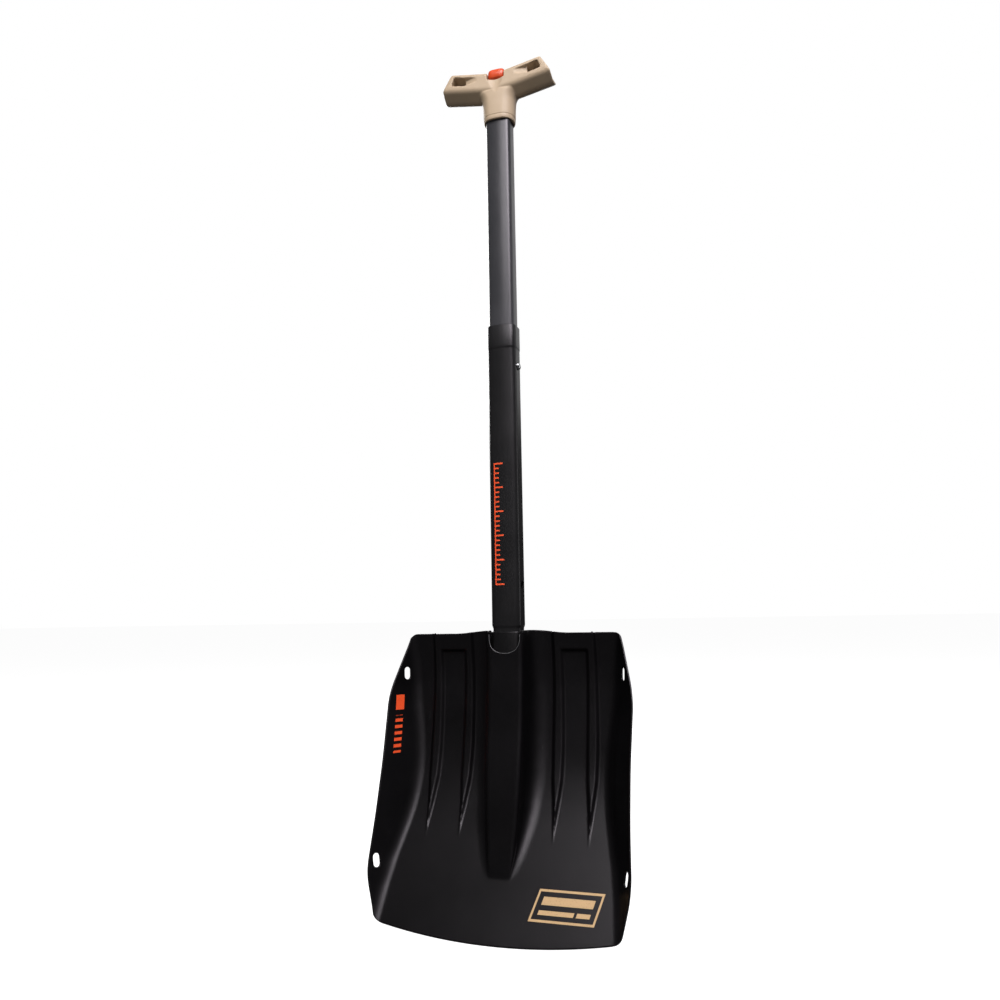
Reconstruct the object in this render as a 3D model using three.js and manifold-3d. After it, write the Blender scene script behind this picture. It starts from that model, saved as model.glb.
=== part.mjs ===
// A two-part avalanche shovel: pressed blade on a socket tube, telescopic shaft, T-grip with a saw inside.
// Millimetres. +Z runs up the shaft to the grip, -Y is the scooping side, +X is right as seen from that side.
// Heights are measured in the drawing frame, whose Z axis is the shaft's centre line. The whole model is
// moved at the end so that its box stands on Z = 0, centred on X and Y.
import * as THREE from 'three';
import { mergeVertices } from 'three/addons/utils/BufferGeometryUtils.js';
import Module from 'manifold-3d';

// ---------------------------------------------------------------- driving dimensions

const FIT_GAP = 0.3;
// Edges shorter than this, left behind by a cut, are taken out.
const SLIVER = 0.02;

// Sections of the flattened tubes: width along X, depth along Y, corner radius.
const CROWN = 2.4;
const SHAFT_WALL = 1.2;
const LOWER_TUBE = { width: 31.0, depth: 27.0, radius: 5.0 };
const FLARE_TUBE = { width: 31.7, depth: 27.8, radius: 5.4 };
const FLARE_WALL = 1.0;
const NECK_TUBE = { width: 29.0, depth: 24.8, radius: 4.4 };
const UPPER_TUBE = { width: 27.6, depth: 23.6, radius: 3.8 };
const SOCKET_WALL = 1.6;
const SOCKET_TUBE = { width: 32.8, depth: 28.6, radius: 5.9 };

// Heights along the shaft.
const NECK_BOTTOM = -3;
const NECK_TOP = 78.5;
const LOWER_BODY_BOTTOM = 82.0;
const FLARE_BOTTOM = 371.8;
const FLARE_FULL = 374.5;
const LOWER_TOP = 398;
const SOCKET_BOTTOM = -13;
const SOCKET_TOP = 75.5;
const UPPER_BOTTOM = 335;
const UPPER_TOP = 662;
const EXTENSION_PIN_HEIGHT = 354.2;
const STOWED_PIN_HEIGHT = 122.6;
const BLADE_PIN_HEIGHT = 30;

// Snap pins and their leaf springs.
const PIN_RADIUS = 4;
const PIN_HOLE_RADIUS = 4.3;
const LEAF_THICKNESS = 0.8;
const LEAF_WIDTH = 9;

// Blade.
const SHEET = 2.0;
const SIDE_TOP = 73.4;
const SIDE_BOTTOM = -193.2;
const BOTTOM_BULGE = 10.0;
const TOP_RISE = 3.2;
const FLANGE_SLOPE = 1.6;
const CREASE_BLEND = 6;
const RIB_RAISE = 3.6;
const RIB_WALL = 3.2;
const INNER_RIB = 47.8;
const OUTER_RIB = 82.6;
const RIB_TIP_HEIGHT = -127;
const BAR_BOTTOM = 58;
const NOTCH_HALF_WIDTH = 16.1;
const NOTCH_BOTTOM = 53.8;
const SLOT_WIDTH = 7.0;
const SLOT_LENGTH = 12.8;
const UPPER_SLOT = [115.0, 32.7];
const LOWER_SLOT = [121.8, -142.3];
const WELD_ACROSS = 18.3;
const WELD_DEPTH = 10.6;

// Grip.
const GRIP_DEPTH = 31;
const GRIP_CENTRE_TOP = 687.3;
const GRIP_RISE = 0.18;
const GRIP_RISE_ROUNDING = 8;
const GRIP_FACE_DROP = 21;
const GRIP_KEEL_DROP = 29.5;
const COLLAR_BOTTOM = 633;
const GRIP_BORE = { width: 28.2, depth: 24.2, radius: 4.1 };

// Saw.
const SAW_THICKNESS = 1.2;
const SAW_BOTTOM = 310;
const SAW_TOP = 660;
const TOOTH_PITCH = 6;

// ---------------------------------------------------------------- solids

const wasm = await Module();
wasm.setup();

function toManifold(geometry) {
  const bare = geometry.clone();
  bare.deleteAttribute('normal');
  bare.deleteAttribute('uv');
  const merged = mergeVertices(bare, 1e-4);
  const mesh = new wasm.Mesh({
    numProp: 3,
    vertProperties: new Float32Array(merged.attributes.position.array),
    triVerts: new Uint32Array(merged.index.array),
  });
  return new wasm.Manifold(mesh);
}

function fromManifold(solid) {
  const mesh = solid.getMesh();
  const geometry = new THREE.BufferGeometry();
  const positions = new Float32Array(mesh.numVert * 3);
  for (let i = 0; i < mesh.numVert; i += 1) {
    for (let axis = 0; axis < 3; axis += 1) {
      positions[3 * i + axis] = mesh.vertProperties[mesh.numProp * i + axis];
    }
  }
  geometry.setAttribute('position', new THREE.BufferAttribute(positions, 3));
  geometry.setIndex(new THREE.BufferAttribute(new Uint32Array(mesh.triVerts), 1));
  return geometry;
}

function cut(geometry, cutters) {
  let solid = toManifold(geometry);
  for (const cutter of cutters) {
    solid = solid.subtract(toManifold(cutter));
  }
  return fromManifold(solid.simplify(SLIVER));
}

function join(geometries) {
  let solid = toManifold(geometries[0]);
  for (const other of geometries.slice(1)) {
    solid = solid.add(toManifold(other));
  }
  return fromManifold(solid);
}

function boxAt(centre, size) {
  const box = new THREE.BoxGeometry(size[0], size[1], size[2]);
  box.translate(centre[0], centre[1], centre[2]);
  return box;
}

function boxBetween(low, high) {
  const centre = low.map((value, axis) => (value + high[axis]) / 2);
  const size = low.map((value, axis) => high[axis] - value);
  return boxAt(centre, size);
}

// A round bar along one axis, from one coordinate to another.
function barAlong(axis, from, to, radius, through, sides = 20) {
  const bar = new THREE.CylinderGeometry(radius, radius, to - from, sides);
  bar.translate(0, (from + to) / 2, 0);
  if (axis === 'x') bar.rotateZ(-Math.PI / 2);
  if (axis === 'z') bar.rotateX(Math.PI / 2);
  bar.translate(through[0], through[1], through[2]);
  return bar;
}

// A body turned about one axis. The profile lists [radius, distance along the axis], axis to axis.
function turnedAlong(axis, profile, through, sides = 20) {
  const points = profile.map(([radius, along]) => new THREE.Vector2(radius, along));
  const body = new THREE.LatheGeometry(points, sides);
  if (axis === 'x') body.rotateZ(-Math.PI / 2);
  body.translate(through[0], through[1], through[2]);
  return mergeVertices(stripped(body), 1e-4);
}

function stripped(geometry) {
  geometry.deleteAttribute('normal');
  geometry.deleteAttribute('uv');
  return geometry;
}

// Rings of equal point counts skinned one to the next. A looped skin joins the last ring to the first
// and gives a tube. Otherwise both ends are capped with flat fans.
function skin(rings, looped) {
  const count = rings[0].length;
  const positions = rings.flat(2);
  const index = [];
  const steps = looped ? rings.length : rings.length - 1;
  for (let r = 0; r < steps; r += 1) {
    const next = (r + 1) % rings.length;
    for (let i = 0; i < count; i += 1) {
      const j = (i + 1) % count;
      index.push(r * count + i, r * count + j, next * count + j);
      index.push(r * count + i, next * count + j, next * count + i);
    }
  }
  if (!looped) {
    addCap(positions, index, 0, count, true);
    addCap(positions, index, (rings.length - 1) * count, count, false);
  }
  const geometry = new THREE.BufferGeometry();
  geometry.setAttribute('position', new THREE.BufferAttribute(new Float32Array(positions), 3));
  geometry.setIndex(index);
  return geometry;
}

function addCap(positions, index, first, count, flipped) {
  const centre = [0, 0, 0];
  for (let i = 0; i < count; i += 1) {
    for (let axis = 0; axis < 3; axis += 1) {
      centre[axis] += positions[3 * (first + i) + axis] / count;
    }
  }
  const hub = positions.length / 3;
  positions.push(centre[0], centre[1], centre[2]);
  for (let i = 0; i < count; i += 1) {
    const j = (i + 1) % count;
    if (flipped) index.push(hub, first + j, first + i);
    else index.push(hub, first + i, first + j);
  }
}

// ---------------------------------------------------------------- flattened tubes

function offsetSection(section, by) {
  return {
    width: section.width + 2 * by,
    depth: section.depth + 2 * by,
    radius: section.radius + by,
  };
}

// One ring of a rounded rectangle with gently crowned front and back, anticlockwise seen from above.
function sectionRing(section, height, cornerSteps = 3) {
  const ring = [];
  const halfWidth = section.width / 2;
  const halfDepth = section.depth / 2 - CROWN;
  const flat = [halfWidth - section.radius, halfDepth - section.radius];
  const corners = [[1, -1], [1, 1], [-1, 1], [-1, -1]];
  corners.forEach(([signX, signY], corner) => {
    for (let step = 0; step <= cornerSteps; step += 1) {
      const angle = ((corner - 1) + step / cornerSteps) * Math.PI / 2;
      ring.push([
        signX * flat[0] + section.radius * Math.cos(angle),
        signY * flat[1] + section.radius * Math.sin(angle),
      ]);
    }
    if (corner === 1) ring.push(...[0.6, 0.2, -0.2, -0.6].map((share) => [share * flat[0], halfDepth]));
    if (corner === 3) ring.push(...[-0.6, -0.2, 0.2, 0.6].map((share) => [share * flat[0], -halfDepth]));
  });
  return ring.map(([x, y]) => {
    const crown = CROWN * Math.max(0, 1 - (x / halfWidth) ** 2);
    return [x, y + Math.sign(y) * crown * Math.min(1, Math.abs(y) / halfDepth), height];
  });
}

function tubeFrom(outerStations, innerStations) {
  const outer = outerStations.map(([section, height]) => sectionRing(section, height));
  const inner = innerStations.map(([section, height]) => sectionRing(section, height));
  return skin([...outer, ...inner.reverse()], true);
}

function plugFrom(stations) {
  return skin(stations.map(([section, height]) => sectionRing(section, height)), false);
}

function lowerShaftGeometry() {
  const lip = offsetSection(FLARE_TUBE, -0.3);
  const tube = tubeFrom(
    [
      [offsetSection(NECK_TUBE, -0.4), NECK_BOTTOM],
      [NECK_TUBE, NECK_BOTTOM + 1],
      [NECK_TUBE, NECK_TOP],
      [LOWER_TUBE, LOWER_BODY_BOTTOM],
      [LOWER_TUBE, FLARE_BOTTOM],
      [FLARE_TUBE, FLARE_FULL],
      [FLARE_TUBE, LOWER_TOP - 0.5],
      [lip, LOWER_TOP],
    ],
    [
      [offsetSection(NECK_TUBE, -SHAFT_WALL), NECK_BOTTOM],
      [offsetSection(NECK_TUBE, -SHAFT_WALL), NECK_TOP],
      [offsetSection(LOWER_TUBE, -SHAFT_WALL), LOWER_BODY_BOTTOM],
      [offsetSection(LOWER_TUBE, -SHAFT_WALL), FLARE_BOTTOM],
      [offsetSection(FLARE_TUBE, -FLARE_WALL), FLARE_FULL],
      [offsetSection(FLARE_TUBE, -FLARE_WALL), LOWER_TOP],
    ],
  );
  return cut(tube, [
    barAlong('x', 5, 20, PIN_HOLE_RADIUS, [0, 0, EXTENSION_PIN_HEIGHT]),
    barAlong('x', 5, 20, PIN_HOLE_RADIUS, [0, 0, STOWED_PIN_HEIGHT]),
    barAlong('y', 5, 20, PIN_HOLE_RADIUS, [0, 0, BLADE_PIN_HEIGHT]),
  ]);
}

function shaftGuideGeometry() {
  const outer = offsetSection(FLARE_TUBE, -FLARE_WALL - FIT_GAP);
  const inner = offsetSection(UPPER_TUBE, 0.2);
  return tubeFrom(
    [[outer, FLARE_FULL + 1], [outer, LOWER_TOP - 0.4]],
    [[inner, FLARE_FULL + 1], [inner, LOWER_TOP - 0.4]],
  );
}

function shaftEndPlugGeometry() {
  const inside = offsetSection(NECK_TUBE, -SHAFT_WALL - FIT_GAP);
  const lip = offsetSection(NECK_TUBE, -0.2);
  const hollow = offsetSection(NECK_TUBE, -SHAFT_WALL - FIT_GAP - 1.5);
  return plugFrom([
    [offsetSection(lip, -0.6), NECK_BOTTOM - 3.2],
    [lip, NECK_BOTTOM - 2.6],
    [lip, NECK_BOTTOM - FIT_GAP],
    [inside, NECK_BOTTOM - FIT_GAP],
    [inside, NECK_BOTTOM + 8],
    [hollow, NECK_BOTTOM + 8],
    [hollow, NECK_BOTTOM - 1],
  ]);
}

function upperShaftGeometry() {
  const inner = offsetSection(UPPER_TUBE, -SHAFT_WALL);
  const tube = tubeFrom(
    [[UPPER_TUBE, UPPER_BOTTOM], [UPPER_TUBE, UPPER_TOP]],
    [[inner, UPPER_BOTTOM], [inner, UPPER_TOP]],
  );
  return cut(tube, [
    barAlong('x', 5, 20, PIN_HOLE_RADIUS, [0, 0, EXTENSION_PIN_HEIGHT]),
    boxBetween([-5, -15, 646.6], [5, -5, 653.4]),
  ]);
}

function shaftGlideGeometry() {
  const lip = offsetSection(UPPER_TUBE, 0.1);
  const inside = offsetSection(UPPER_TUBE, -SHAFT_WALL - FIT_GAP);
  const hollow = { width: 21.6, depth: 18.8, radius: 2.4 };
  const ring = tubeFrom(
    [
      [offsetSection(lip, -0.5), UPPER_BOTTOM - 4],
      [lip, UPPER_BOTTOM - 3.5],
      [lip, UPPER_BOTTOM - FIT_GAP],
      [inside, UPPER_BOTTOM - FIT_GAP],
      [inside, UPPER_BOTTOM + 13],
    ],
    [[hollow, UPPER_BOTTOM - 4], [hollow, UPPER_BOTTOM + 13]],
  );
  const leafChannel = boxBetween(
    [9, -LEAF_WIDTH / 2 - FIT_GAP, UPPER_BOTTOM + 1.5],
    [14, LEAF_WIDTH / 2 + FIT_GAP, UPPER_BOTTOM + 20],
  );
  return cut(ring, [leafChannel]);
}

function socketGeometry() {
  const inner = offsetSection(SOCKET_TUBE, -SOCKET_WALL);
  const tube = tubeFrom(
    [[SOCKET_TUBE, SOCKET_BOTTOM], [SOCKET_TUBE, SOCKET_TOP - 0.6], [offsetSection(SOCKET_TUBE, -0.5), SOCKET_TOP]],
    [[inner, SOCKET_BOTTOM], [inner, SOCKET_TOP]],
  );
  return cut(tube, [barAlong('y', 5, 20, PIN_HOLE_RADIUS, [0, 0, BLADE_PIN_HEIGHT])]);
}

// ---------------------------------------------------------------- snap pins and springs

// A domed pin standing on its leaf: distances run outwards along its own axis.
function snapPinProfile(seat, shoulder, tip) {
  const dome = tip - shoulder;
  const profile = [[0, seat], [PIN_RADIUS, seat]];
  const steps = 5;
  for (let step = 0; step < steps; step += 1) {
    const angle = step / steps * Math.PI / 2;
    profile.push([PIN_RADIUS * Math.cos(angle), shoulder + dome * Math.sin(angle)]);
  }
  profile.push([0, tip]);
  return profile;
}

function extensionPinGeometry() {
  return turnedAlong('x', snapPinProfile(12.4, 16.2, 18.3), [0, 0, EXTENSION_PIN_HEIGHT]);
}

function bladePinGeometry() {
  return turnedAlong('y', snapPinProfile(9.9, 14.9, 17.2), [0, 0, BLADE_PIN_HEIGHT]);
}

// A strip bent in the plane of its own thickness: the path lists [across, height] along the middle line.
function leafFrom(path, width) {
  const rings = path.map(([across, height], i) => {
    const before = path[Math.max(0, i - 1)];
    const after = path[Math.min(path.length - 1, i + 1)];
    const run = Math.hypot(after[0] - before[0], after[1] - before[1]);
    const normal = [(after[1] - before[1]) / run, -(after[0] - before[0]) / run];
    const half = LEAF_THICKNESS / 2;
    return [
      [across - half * normal[0], -width / 2, height - half * normal[1]],
      [across + half * normal[0], -width / 2, height + half * normal[1]],
      [across + half * normal[0], width / 2, height + half * normal[1]],
      [across - half * normal[0], width / 2, height - half * normal[1]],
    ];
  });
  return skin(rings, false);
}

function extensionClipGeometry() {
  return leafFrom([[11.7, 337], [11.7, 350], [11.7, 364], [10.6, 368]], LEAF_WIDTH);
}

// A hairpin: one leg carries the pin on the back wall, the other bears on the front wall.
function bladeClipGeometry() {
  const bend = [];
  const bendRadius = 9.2;
  const steps = 8;
  for (let step = 0; step <= steps; step += 1) {
    const angle = Math.PI + step / steps * Math.PI;
    bend.push([bendRadius * Math.cos(angle), 18 + bendRadius * 0.8 * Math.sin(angle)]);
  }
  const clip = leafFrom([[-8.2, 44], [-9.2, 40], ...bend, [9.2, 38], [8.2, 42]], LEAF_WIDTH);
  clip.rotateZ(Math.PI / 2);
  return clip;
}

function coilSpringGeometry() {
  const turns = 5;
  const radius = 2.6;
  const from = 3.1;
  const length = 6.6;
  const wire = 0.45;
  const sides = 5;
  const steps = turns * 10;
  const rings = [];
  for (let step = 0; step <= steps; step += 1) {
    const angle = step / steps * turns * 2 * Math.PI;
    const along = from + wire + length * step / steps;
    const ring = [];
    for (let side = 0; side < sides; side += 1) {
      const around = side / sides * 2 * Math.PI;
      const reach = radius + wire * Math.cos(around);
      ring.push([reach * Math.cos(angle), along + wire * Math.sin(around), reach * Math.sin(angle)]);
    }
    rings.push(ring);
  }
  const coil = skin(rings, false);
  coil.translate(0, 0, 684);
  return coil;
}

// ---------------------------------------------------------------- blade

// Straight lines through a table of [input, output] rows, softened by averaging over a short span.
function lineThrough(table, input) {
  if (input <= table[0][0]) return table[0][1];
  for (let i = 1; i < table.length; i += 1) {
    if (input <= table[i][0]) {
      const share = (input - table[i - 1][0]) / (table[i][0] - table[i - 1][0]);
      return table[i - 1][1] + share * (table[i][1] - table[i - 1][1]);
    }
  }
  return table[table.length - 1][1];
}

function softLine(table, input, span) {
  let sum = 0;
  const samples = 9;
  for (let k = 0; k < samples; k += 1) {
    sum += lineThrough(table, input + span * (k / (samples - 1) - 0.5));
  }
  return sum / samples;
}

function smoothStep(from, to, value) {
  const t = Math.min(1, Math.max(0, (value - from) / (to - from)));
  return t * t * (3 - 2 * t);
}

const PAN_DEPTH = [
  [-230, -89.2], [-193, -67.5], [-155, -45], [-142, -37.5], [-121, -24.5], [-100, -12.5],
  [-75, -1.5], [-50, 6], [-20, 11.5], [12, 15], [32, 16.2], [60, 13.5], [100, 6],
];
const EDGE_DEPTH = [
  [-240, -72.3], [-193.3, -69.2], [-151, -66.4], [12.9, -16.9], [74.6, 10.9], [110, 27],
];
const EDGE_HALF_WIDTH = [
  [-240, 105.8], [-151, 127.2], [-100, 125.2], [-50, 124.9], [12.9, 126.8], [80, 110.2],
];
// How far the rounded top and bottom corners pull the edge in.
const CORNER_PULL = [
  [-193.2, 6.4], [-192.6, 3.6], [-190.8, 1.2], [-187.3, 0], [66.8, 0], [70.5, 1.0], [72.6, 2.9], [73.4, 5.2],
];
const RIDGE_DEPTH = [
  [-230, -57], [-148.5, -43.4], [-121, -38.8], [-48.7, -27.3], [-13, -21.2], [40, -16.6], [100, -16.6],
];
const RIDGE_HALF_WIDTH = [
  [-165, 8], [-150, 10.5], [-140, 12.5], [-121, 15], [-100, 16.6], [-60, 18.3], [-30, 18.8], [100, 18.8],
];
const RIDGE_FILLET = [[-165, 3], [-153, 5], [-138, 9], [-107, 14], [-60, 17], [100, 17]];

function edgeHalfWidth(z) {
  return softLine(EDGE_HALF_WIDTH, z, 26) - lineThrough(CORNER_PULL, z);
}

function panDepth(z) {
  return softLine(PAN_DEPTH, z, 24);
}

function creaseAt(z) {
  const flangeRise = panDepth(z) - softLine(EDGE_DEPTH, z, 10);
  const outline = softLine(EDGE_HALF_WIDTH, z, 26) + SHEET / 2;
  return outline - Math.max(0, flangeRise) / FLANGE_SLOPE;
}

// Half the width of a rib's flat crest. Below the tip it goes negative and the rib dies out.
function crestHalfWidth(z) {
  return lineThrough([[RIB_TIP_HEIGHT, -RIB_WALL], [-70, 2.4], [-40, 3.0], [60, 2.0]], z);
}

function ribRaise(across, z) {
  const crest = crestHalfWidth(z);
  const fromInner = Math.abs(across - INNER_RIB) - crest;
  const fromOuter = Math.abs(across - OUTER_RIB) - crest;
  const middle = (INNER_RIB + OUTER_RIB) / 2;
  const reach = (OUTER_RIB - INNER_RIB) / 2 + crest;
  const sideways = Math.abs(across - middle) - reach;
  const below = BAR_BOTTOM - z;
  const fromBar = Math.max(sideways, below);
  const distance = Math.min(fromInner, fromOuter, fromBar);
  return RIB_RAISE * (1 - smoothStep(0, RIB_WALL, distance));
}

// The front surface outside the ridge, as a depth over the X-Z plane.
function panSurface(across, z) {
  const past = across - creaseAt(z);
  let bend = Math.max(0, past);
  if (Math.abs(past) < CREASE_BLEND) bend = (past + CREASE_BLEND) ** 2 / (4 * CREASE_BLEND);
  return panDepth(z) - FLANGE_SLOPE * bend - ribRaise(across, z);
}

// Half of the raised ridge's section at one height: [across, depth] from the crest to its foot.
function ridgeSection(z) {
  const top = softLine(RIDGE_DEPTH, z, 20);
  const foot = panDepth(z);
  const height = Math.max(0, foot - top);
  const half = softLine(RIDGE_HALF_WIDTH, z, 20);
  const shoulder = Math.min(4.6, height * 0.35);
  const shoulderReach = Math.max(2.5, shoulder);
  const fillet = Math.min(lineThrough(RIDGE_FILLET, z), height * 0.6);
  const filletReach = Math.max(4, lineThrough(RIDGE_FILLET, z) * 1.08);
  const crest = Math.min(top, foot);
  const points = [[0, crest], [half - shoulderReach, crest]];
  for (const degrees of [30, 60, 90]) {
    const angle = THREE.MathUtils.degToRad(degrees);
    points.push([
      half - shoulderReach * (1 - Math.sin(angle)),
      crest + shoulder * (1 - Math.cos(angle)),
    ]);
  }
  for (const degrees of [0, 30, 60, 90]) {
    const angle = THREE.MathUtils.degToRad(degrees);
    points.push([
      half + 0.8 + filletReach * (1 - Math.cos(angle)),
      foot - fillet * (1 - Math.sin(angle)),
    ]);
  }
  return points;
}

// Columns of the pan from the ridge's foot outwards. Each follows a rib edge, the crease or the rim.
function panColumns(z, foot) {
  const crest = Math.max(0.8, crestHalfWidth(z));
  const rim = edgeHalfWidth(z);
  const crease = Math.min(creaseAt(z), rim - 6);
  const ribColumns = (middle) => [
    middle - crest - RIB_WALL, middle - crest,
    middle + crest, middle + crest + RIB_WALL,
  ];
  const last = OUTER_RIB + crest + RIB_WALL;
  const bendIn = Math.max(last + 1, crease - CREASE_BLEND * 0.9);
  return [
    Math.min(foot + 2.5, INNER_RIB - crest - RIB_WALL - 1),
    ...ribColumns(INNER_RIB),
    (INNER_RIB + OUTER_RIB) / 2,
    ...ribColumns(OUTER_RIB),
    bendIn,
    crease,
    crease + (rim - crease) * 0.22,
    crease + (rim - crease) * 0.6,
    rim,
  ];
}

// Height of a point: the rows follow the straight top edge above and the curved digging edge below.
function rowHeight(sideHeight, across) {
  const share = (SIDE_TOP - sideHeight) / (SIDE_TOP - SIDE_BOTTOM);
  const sag = BOTTOM_BULGE * (1 - (across / 118) ** 2) * share ** 3;
  const rise = TOP_RISE * (1 - smoothStep(20, 62, across)) * (1 - share) ** 6;
  return sideHeight - Math.max(0, sag) + rise;
}

function bladeRow(sideHeight) {
  const half = [];
  const middle = ridgeSection(rowHeight(sideHeight, 0));
  for (let i = 0; i < middle.length; i += 1) {
    const across = middle[i][0];
    const z = rowHeight(sideHeight, across);
    const point = ridgeSection(z)[i];
    half.push([point[0], point[1], z]);
  }
  const foot = half[half.length - 1][0];
  for (const across of panColumns(sideHeight, foot)) {
    const z = rowHeight(sideHeight, across);
    half.push([across, panSurface(across, z), z]);
  }
  const mirrored = half.slice(1).reverse().map(([x, y, z]) => [-x, y, z]);
  return [...mirrored, ...half];
}

// A closed sheet from a grid of front points: the back is the front moved in by the sheet's thickness.
function sheetFrom(rows, thickness) {
  const rowCount = rows.length;
  const columnCount = rows[0].length;
  const point = (r, c) => new THREE.Vector3(...rows[r][c]);
  const front = [];
  const back = [];
  for (let r = 0; r < rowCount; r += 1) {
    for (let c = 0; c < columnCount; c += 1) {
      const across = point(r, Math.min(columnCount - 1, c + 1)).sub(point(r, Math.max(0, c - 1)));
      const down = point(Math.min(rowCount - 1, r + 1), c).sub(point(Math.max(0, r - 1), c));
      const inward = across.cross(down).normalize();
      if (inward.y < 0) inward.negate();
      const here = point(r, c);
      front.push(here.toArray());
      back.push(here.addScaledVector(inward, thickness).toArray());
    }
  }
  const size = rowCount * columnCount;
  const index = [];
  const quad = (a, b, c, d) => index.push(a, b, c, a, c, d);
  for (let r = 0; r < rowCount - 1; r += 1) {
    for (let c = 0; c < columnCount - 1; c += 1) {
      const a = r * columnCount + c;
      const b = a + columnCount;
      quad(a, b, b + 1, a + 1);
      quad(size + a, size + a + 1, size + b + 1, size + b);
    }
  }
  for (let c = 0; c < columnCount - 1; c += 1) {
    const last = (rowCount - 1) * columnCount + c;
    quad(c, c + 1, size + c + 1, size + c);
    quad(last + 1, last, size + last, size + last + 1);
  }
  for (let r = 0; r < rowCount - 1; r += 1) {
    const left = r * columnCount;
    const right = left + columnCount - 1;
    quad(left + columnCount, left, size + left, size + left + columnCount);
    quad(right, right + columnCount, size + right + columnCount, size + right);
  }
  const geometry = new THREE.BufferGeometry();
  geometry.setAttribute('position', new THREE.BufferAttribute(new Float32Array([...front, ...back].flat()), 3));
  geometry.setIndex(index);
  return geometry;
}

function stadium(width, length) {
  const radius = width / 2;
  const straight = length / 2 - radius;
  const shape = new THREE.Shape();
  shape.absarc(0, straight, radius, 0, Math.PI, false);
  shape.absarc(0, -straight, radius, Math.PI, 2 * Math.PI, false);
  return shape;
}

// A lashing slot's cutter, square to the flange. Side is 1 for the right flange and -1 for the left.
function slotCutter([across, z], side) {
  const small = 0.5;
  const depth = panSurface(across, z);
  const alongX = (panSurface(across + small, z) - panSurface(across - small, z)) / (2 * small);
  const alongZ = (panSurface(across, z + small) - panSurface(across, z - small)) / (2 * small);
  const normal = new THREE.Vector3(-side * alongX, 1, -alongZ).normalize();
  const long = new THREE.Vector3(0, 0, 1);
  long.addScaledVector(normal, -long.dot(normal)).normalize();
  const wide = new THREE.Vector3().crossVectors(long, normal);
  const cutter = new THREE.ExtrudeGeometry(stadium(SLOT_WIDTH, SLOT_LENGTH), {
    depth: 16, bevelEnabled: false, curveSegments: 8,
  });
  cutter.translate(0, 0, -8);
  cutter.applyMatrix4(new THREE.Matrix4().makeBasis(wide, long, normal));
  cutter.translate(side * across, depth, z);
  return cutter;
}

// The U in the top edge that bares the front of the socket tube.
function notchCutter() {
  const shape = new THREE.Shape();
  const mouth = 80;
  const shoulder = 68;
  shape.moveTo(NOTCH_HALF_WIDTH + 1.2, mouth);
  shape.quadraticCurveTo(NOTCH_HALF_WIDTH + 0.2, 75, NOTCH_HALF_WIDTH, shoulder);
  shape.bezierCurveTo(NOTCH_HALF_WIDTH, 58, 9, NOTCH_BOTTOM, 0, NOTCH_BOTTOM);
  shape.bezierCurveTo(-9, NOTCH_BOTTOM, -NOTCH_HALF_WIDTH, 58, -NOTCH_HALF_WIDTH, shoulder);
  shape.quadraticCurveTo(-NOTCH_HALF_WIDTH - 0.2, 75, -NOTCH_HALF_WIDTH - 1.2, mouth);
  const cutter = new THREE.ExtrudeGeometry(shape, { depth: 60, bevelEnabled: false, curveSegments: 8 });
  cutter.translate(0, 0, -30);
  cutter.rotateX(Math.PI / 2);
  return cutter;
}

function bladeGeometry() {
  const sideHeights = [
    SIDE_TOP, 72.6, 70.5, 66.8, BAR_BOTTOM, 54.8, 45, 30, 18, 6, -15, -40, -60, -78, -95, -110, -122, -132,
    -141, -149, -157, -172, -187.3, -190.8, -192.6, SIDE_BOTTOM,
  ];
  const sheet = sheetFrom(sideHeights.map(bladeRow), SHEET);
  const slots = [1, -1].flatMap((side) => [slotCutter(UPPER_SLOT, side), slotCutter(LOWER_SLOT, side)]);
  return cut(sheet, [...slots, notchCutter()]);
}

// A weld bead in the corner between the socket tube's side and the ridge's wall.
function weldGeometry(side) {
  const rings = [];
  const steps = 16;
  const from = -8;
  const to = 70;
  for (let step = 0; step <= steps; step += 1) {
    const height = from + (to - from) * step / steps;
    const swell = step % 2 === 0 ? 1.35 : 1.6;
    const ring = [];
    for (let k = 0; k < 6; k += 1) {
      const angle = k / 6 * 2 * Math.PI;
      ring.push([side * WELD_ACROSS + swell * Math.cos(angle), WELD_DEPTH + swell * Math.sin(angle), height]);
    }
    rings.push(ring);
  }
  return skin(rings, false);
}

// ---------------------------------------------------------------- grip

function armTop(across) {
  return GRIP_CENTRE_TOP + GRIP_RISE * Math.hypot(across, GRIP_RISE_ROUNDING);
}

// The arm's five-sided section with rounded edges: [depth, drop below the top line].
function armSection() {
  const half = GRIP_DEPTH / 2;
  const corners = [
    { at: [-half, 0], round: 4.5 },
    { at: [-half, -GRIP_FACE_DROP], round: 4 },
    { at: [0, -GRIP_KEEL_DROP - 1.4], round: 6 },
    { at: [half, -GRIP_FACE_DROP], round: 4 },
    { at: [half, 0], round: 4.5 },
  ];
  const points = [];
  const steps = 3;
  corners.forEach(({ at, round }, i) => {
    const before = corners[(i + corners.length - 1) % corners.length].at;
    const after = corners[(i + 1) % corners.length].at;
    const pull = (towards) => {
      const run = Math.hypot(towards[0] - at[0], towards[1] - at[1]);
      return [at[0] + (towards[0] - at[0]) * round / run, at[1] + (towards[1] - at[1]) * round / run];
    };
    const start = pull(before);
    const end = pull(after);
    for (let step = 0; step <= steps; step += 1) {
      const t = step / steps;
      points.push([0, 1].map((axis) => (1 - t) ** 2 * start[axis] + 2 * t * (1 - t) * at[axis]
        + t * t * end[axis]));
    }
  });
  return points;
}

// The arms are cut off on a slant: the lower a point of the section, the further out it reaches.
function armReach(drop) {
  return lineThrough([[-GRIP_KEEL_DROP, 63.4], [-GRIP_FACE_DROP, 62.4], [0, 51.4]], drop);
}

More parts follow.
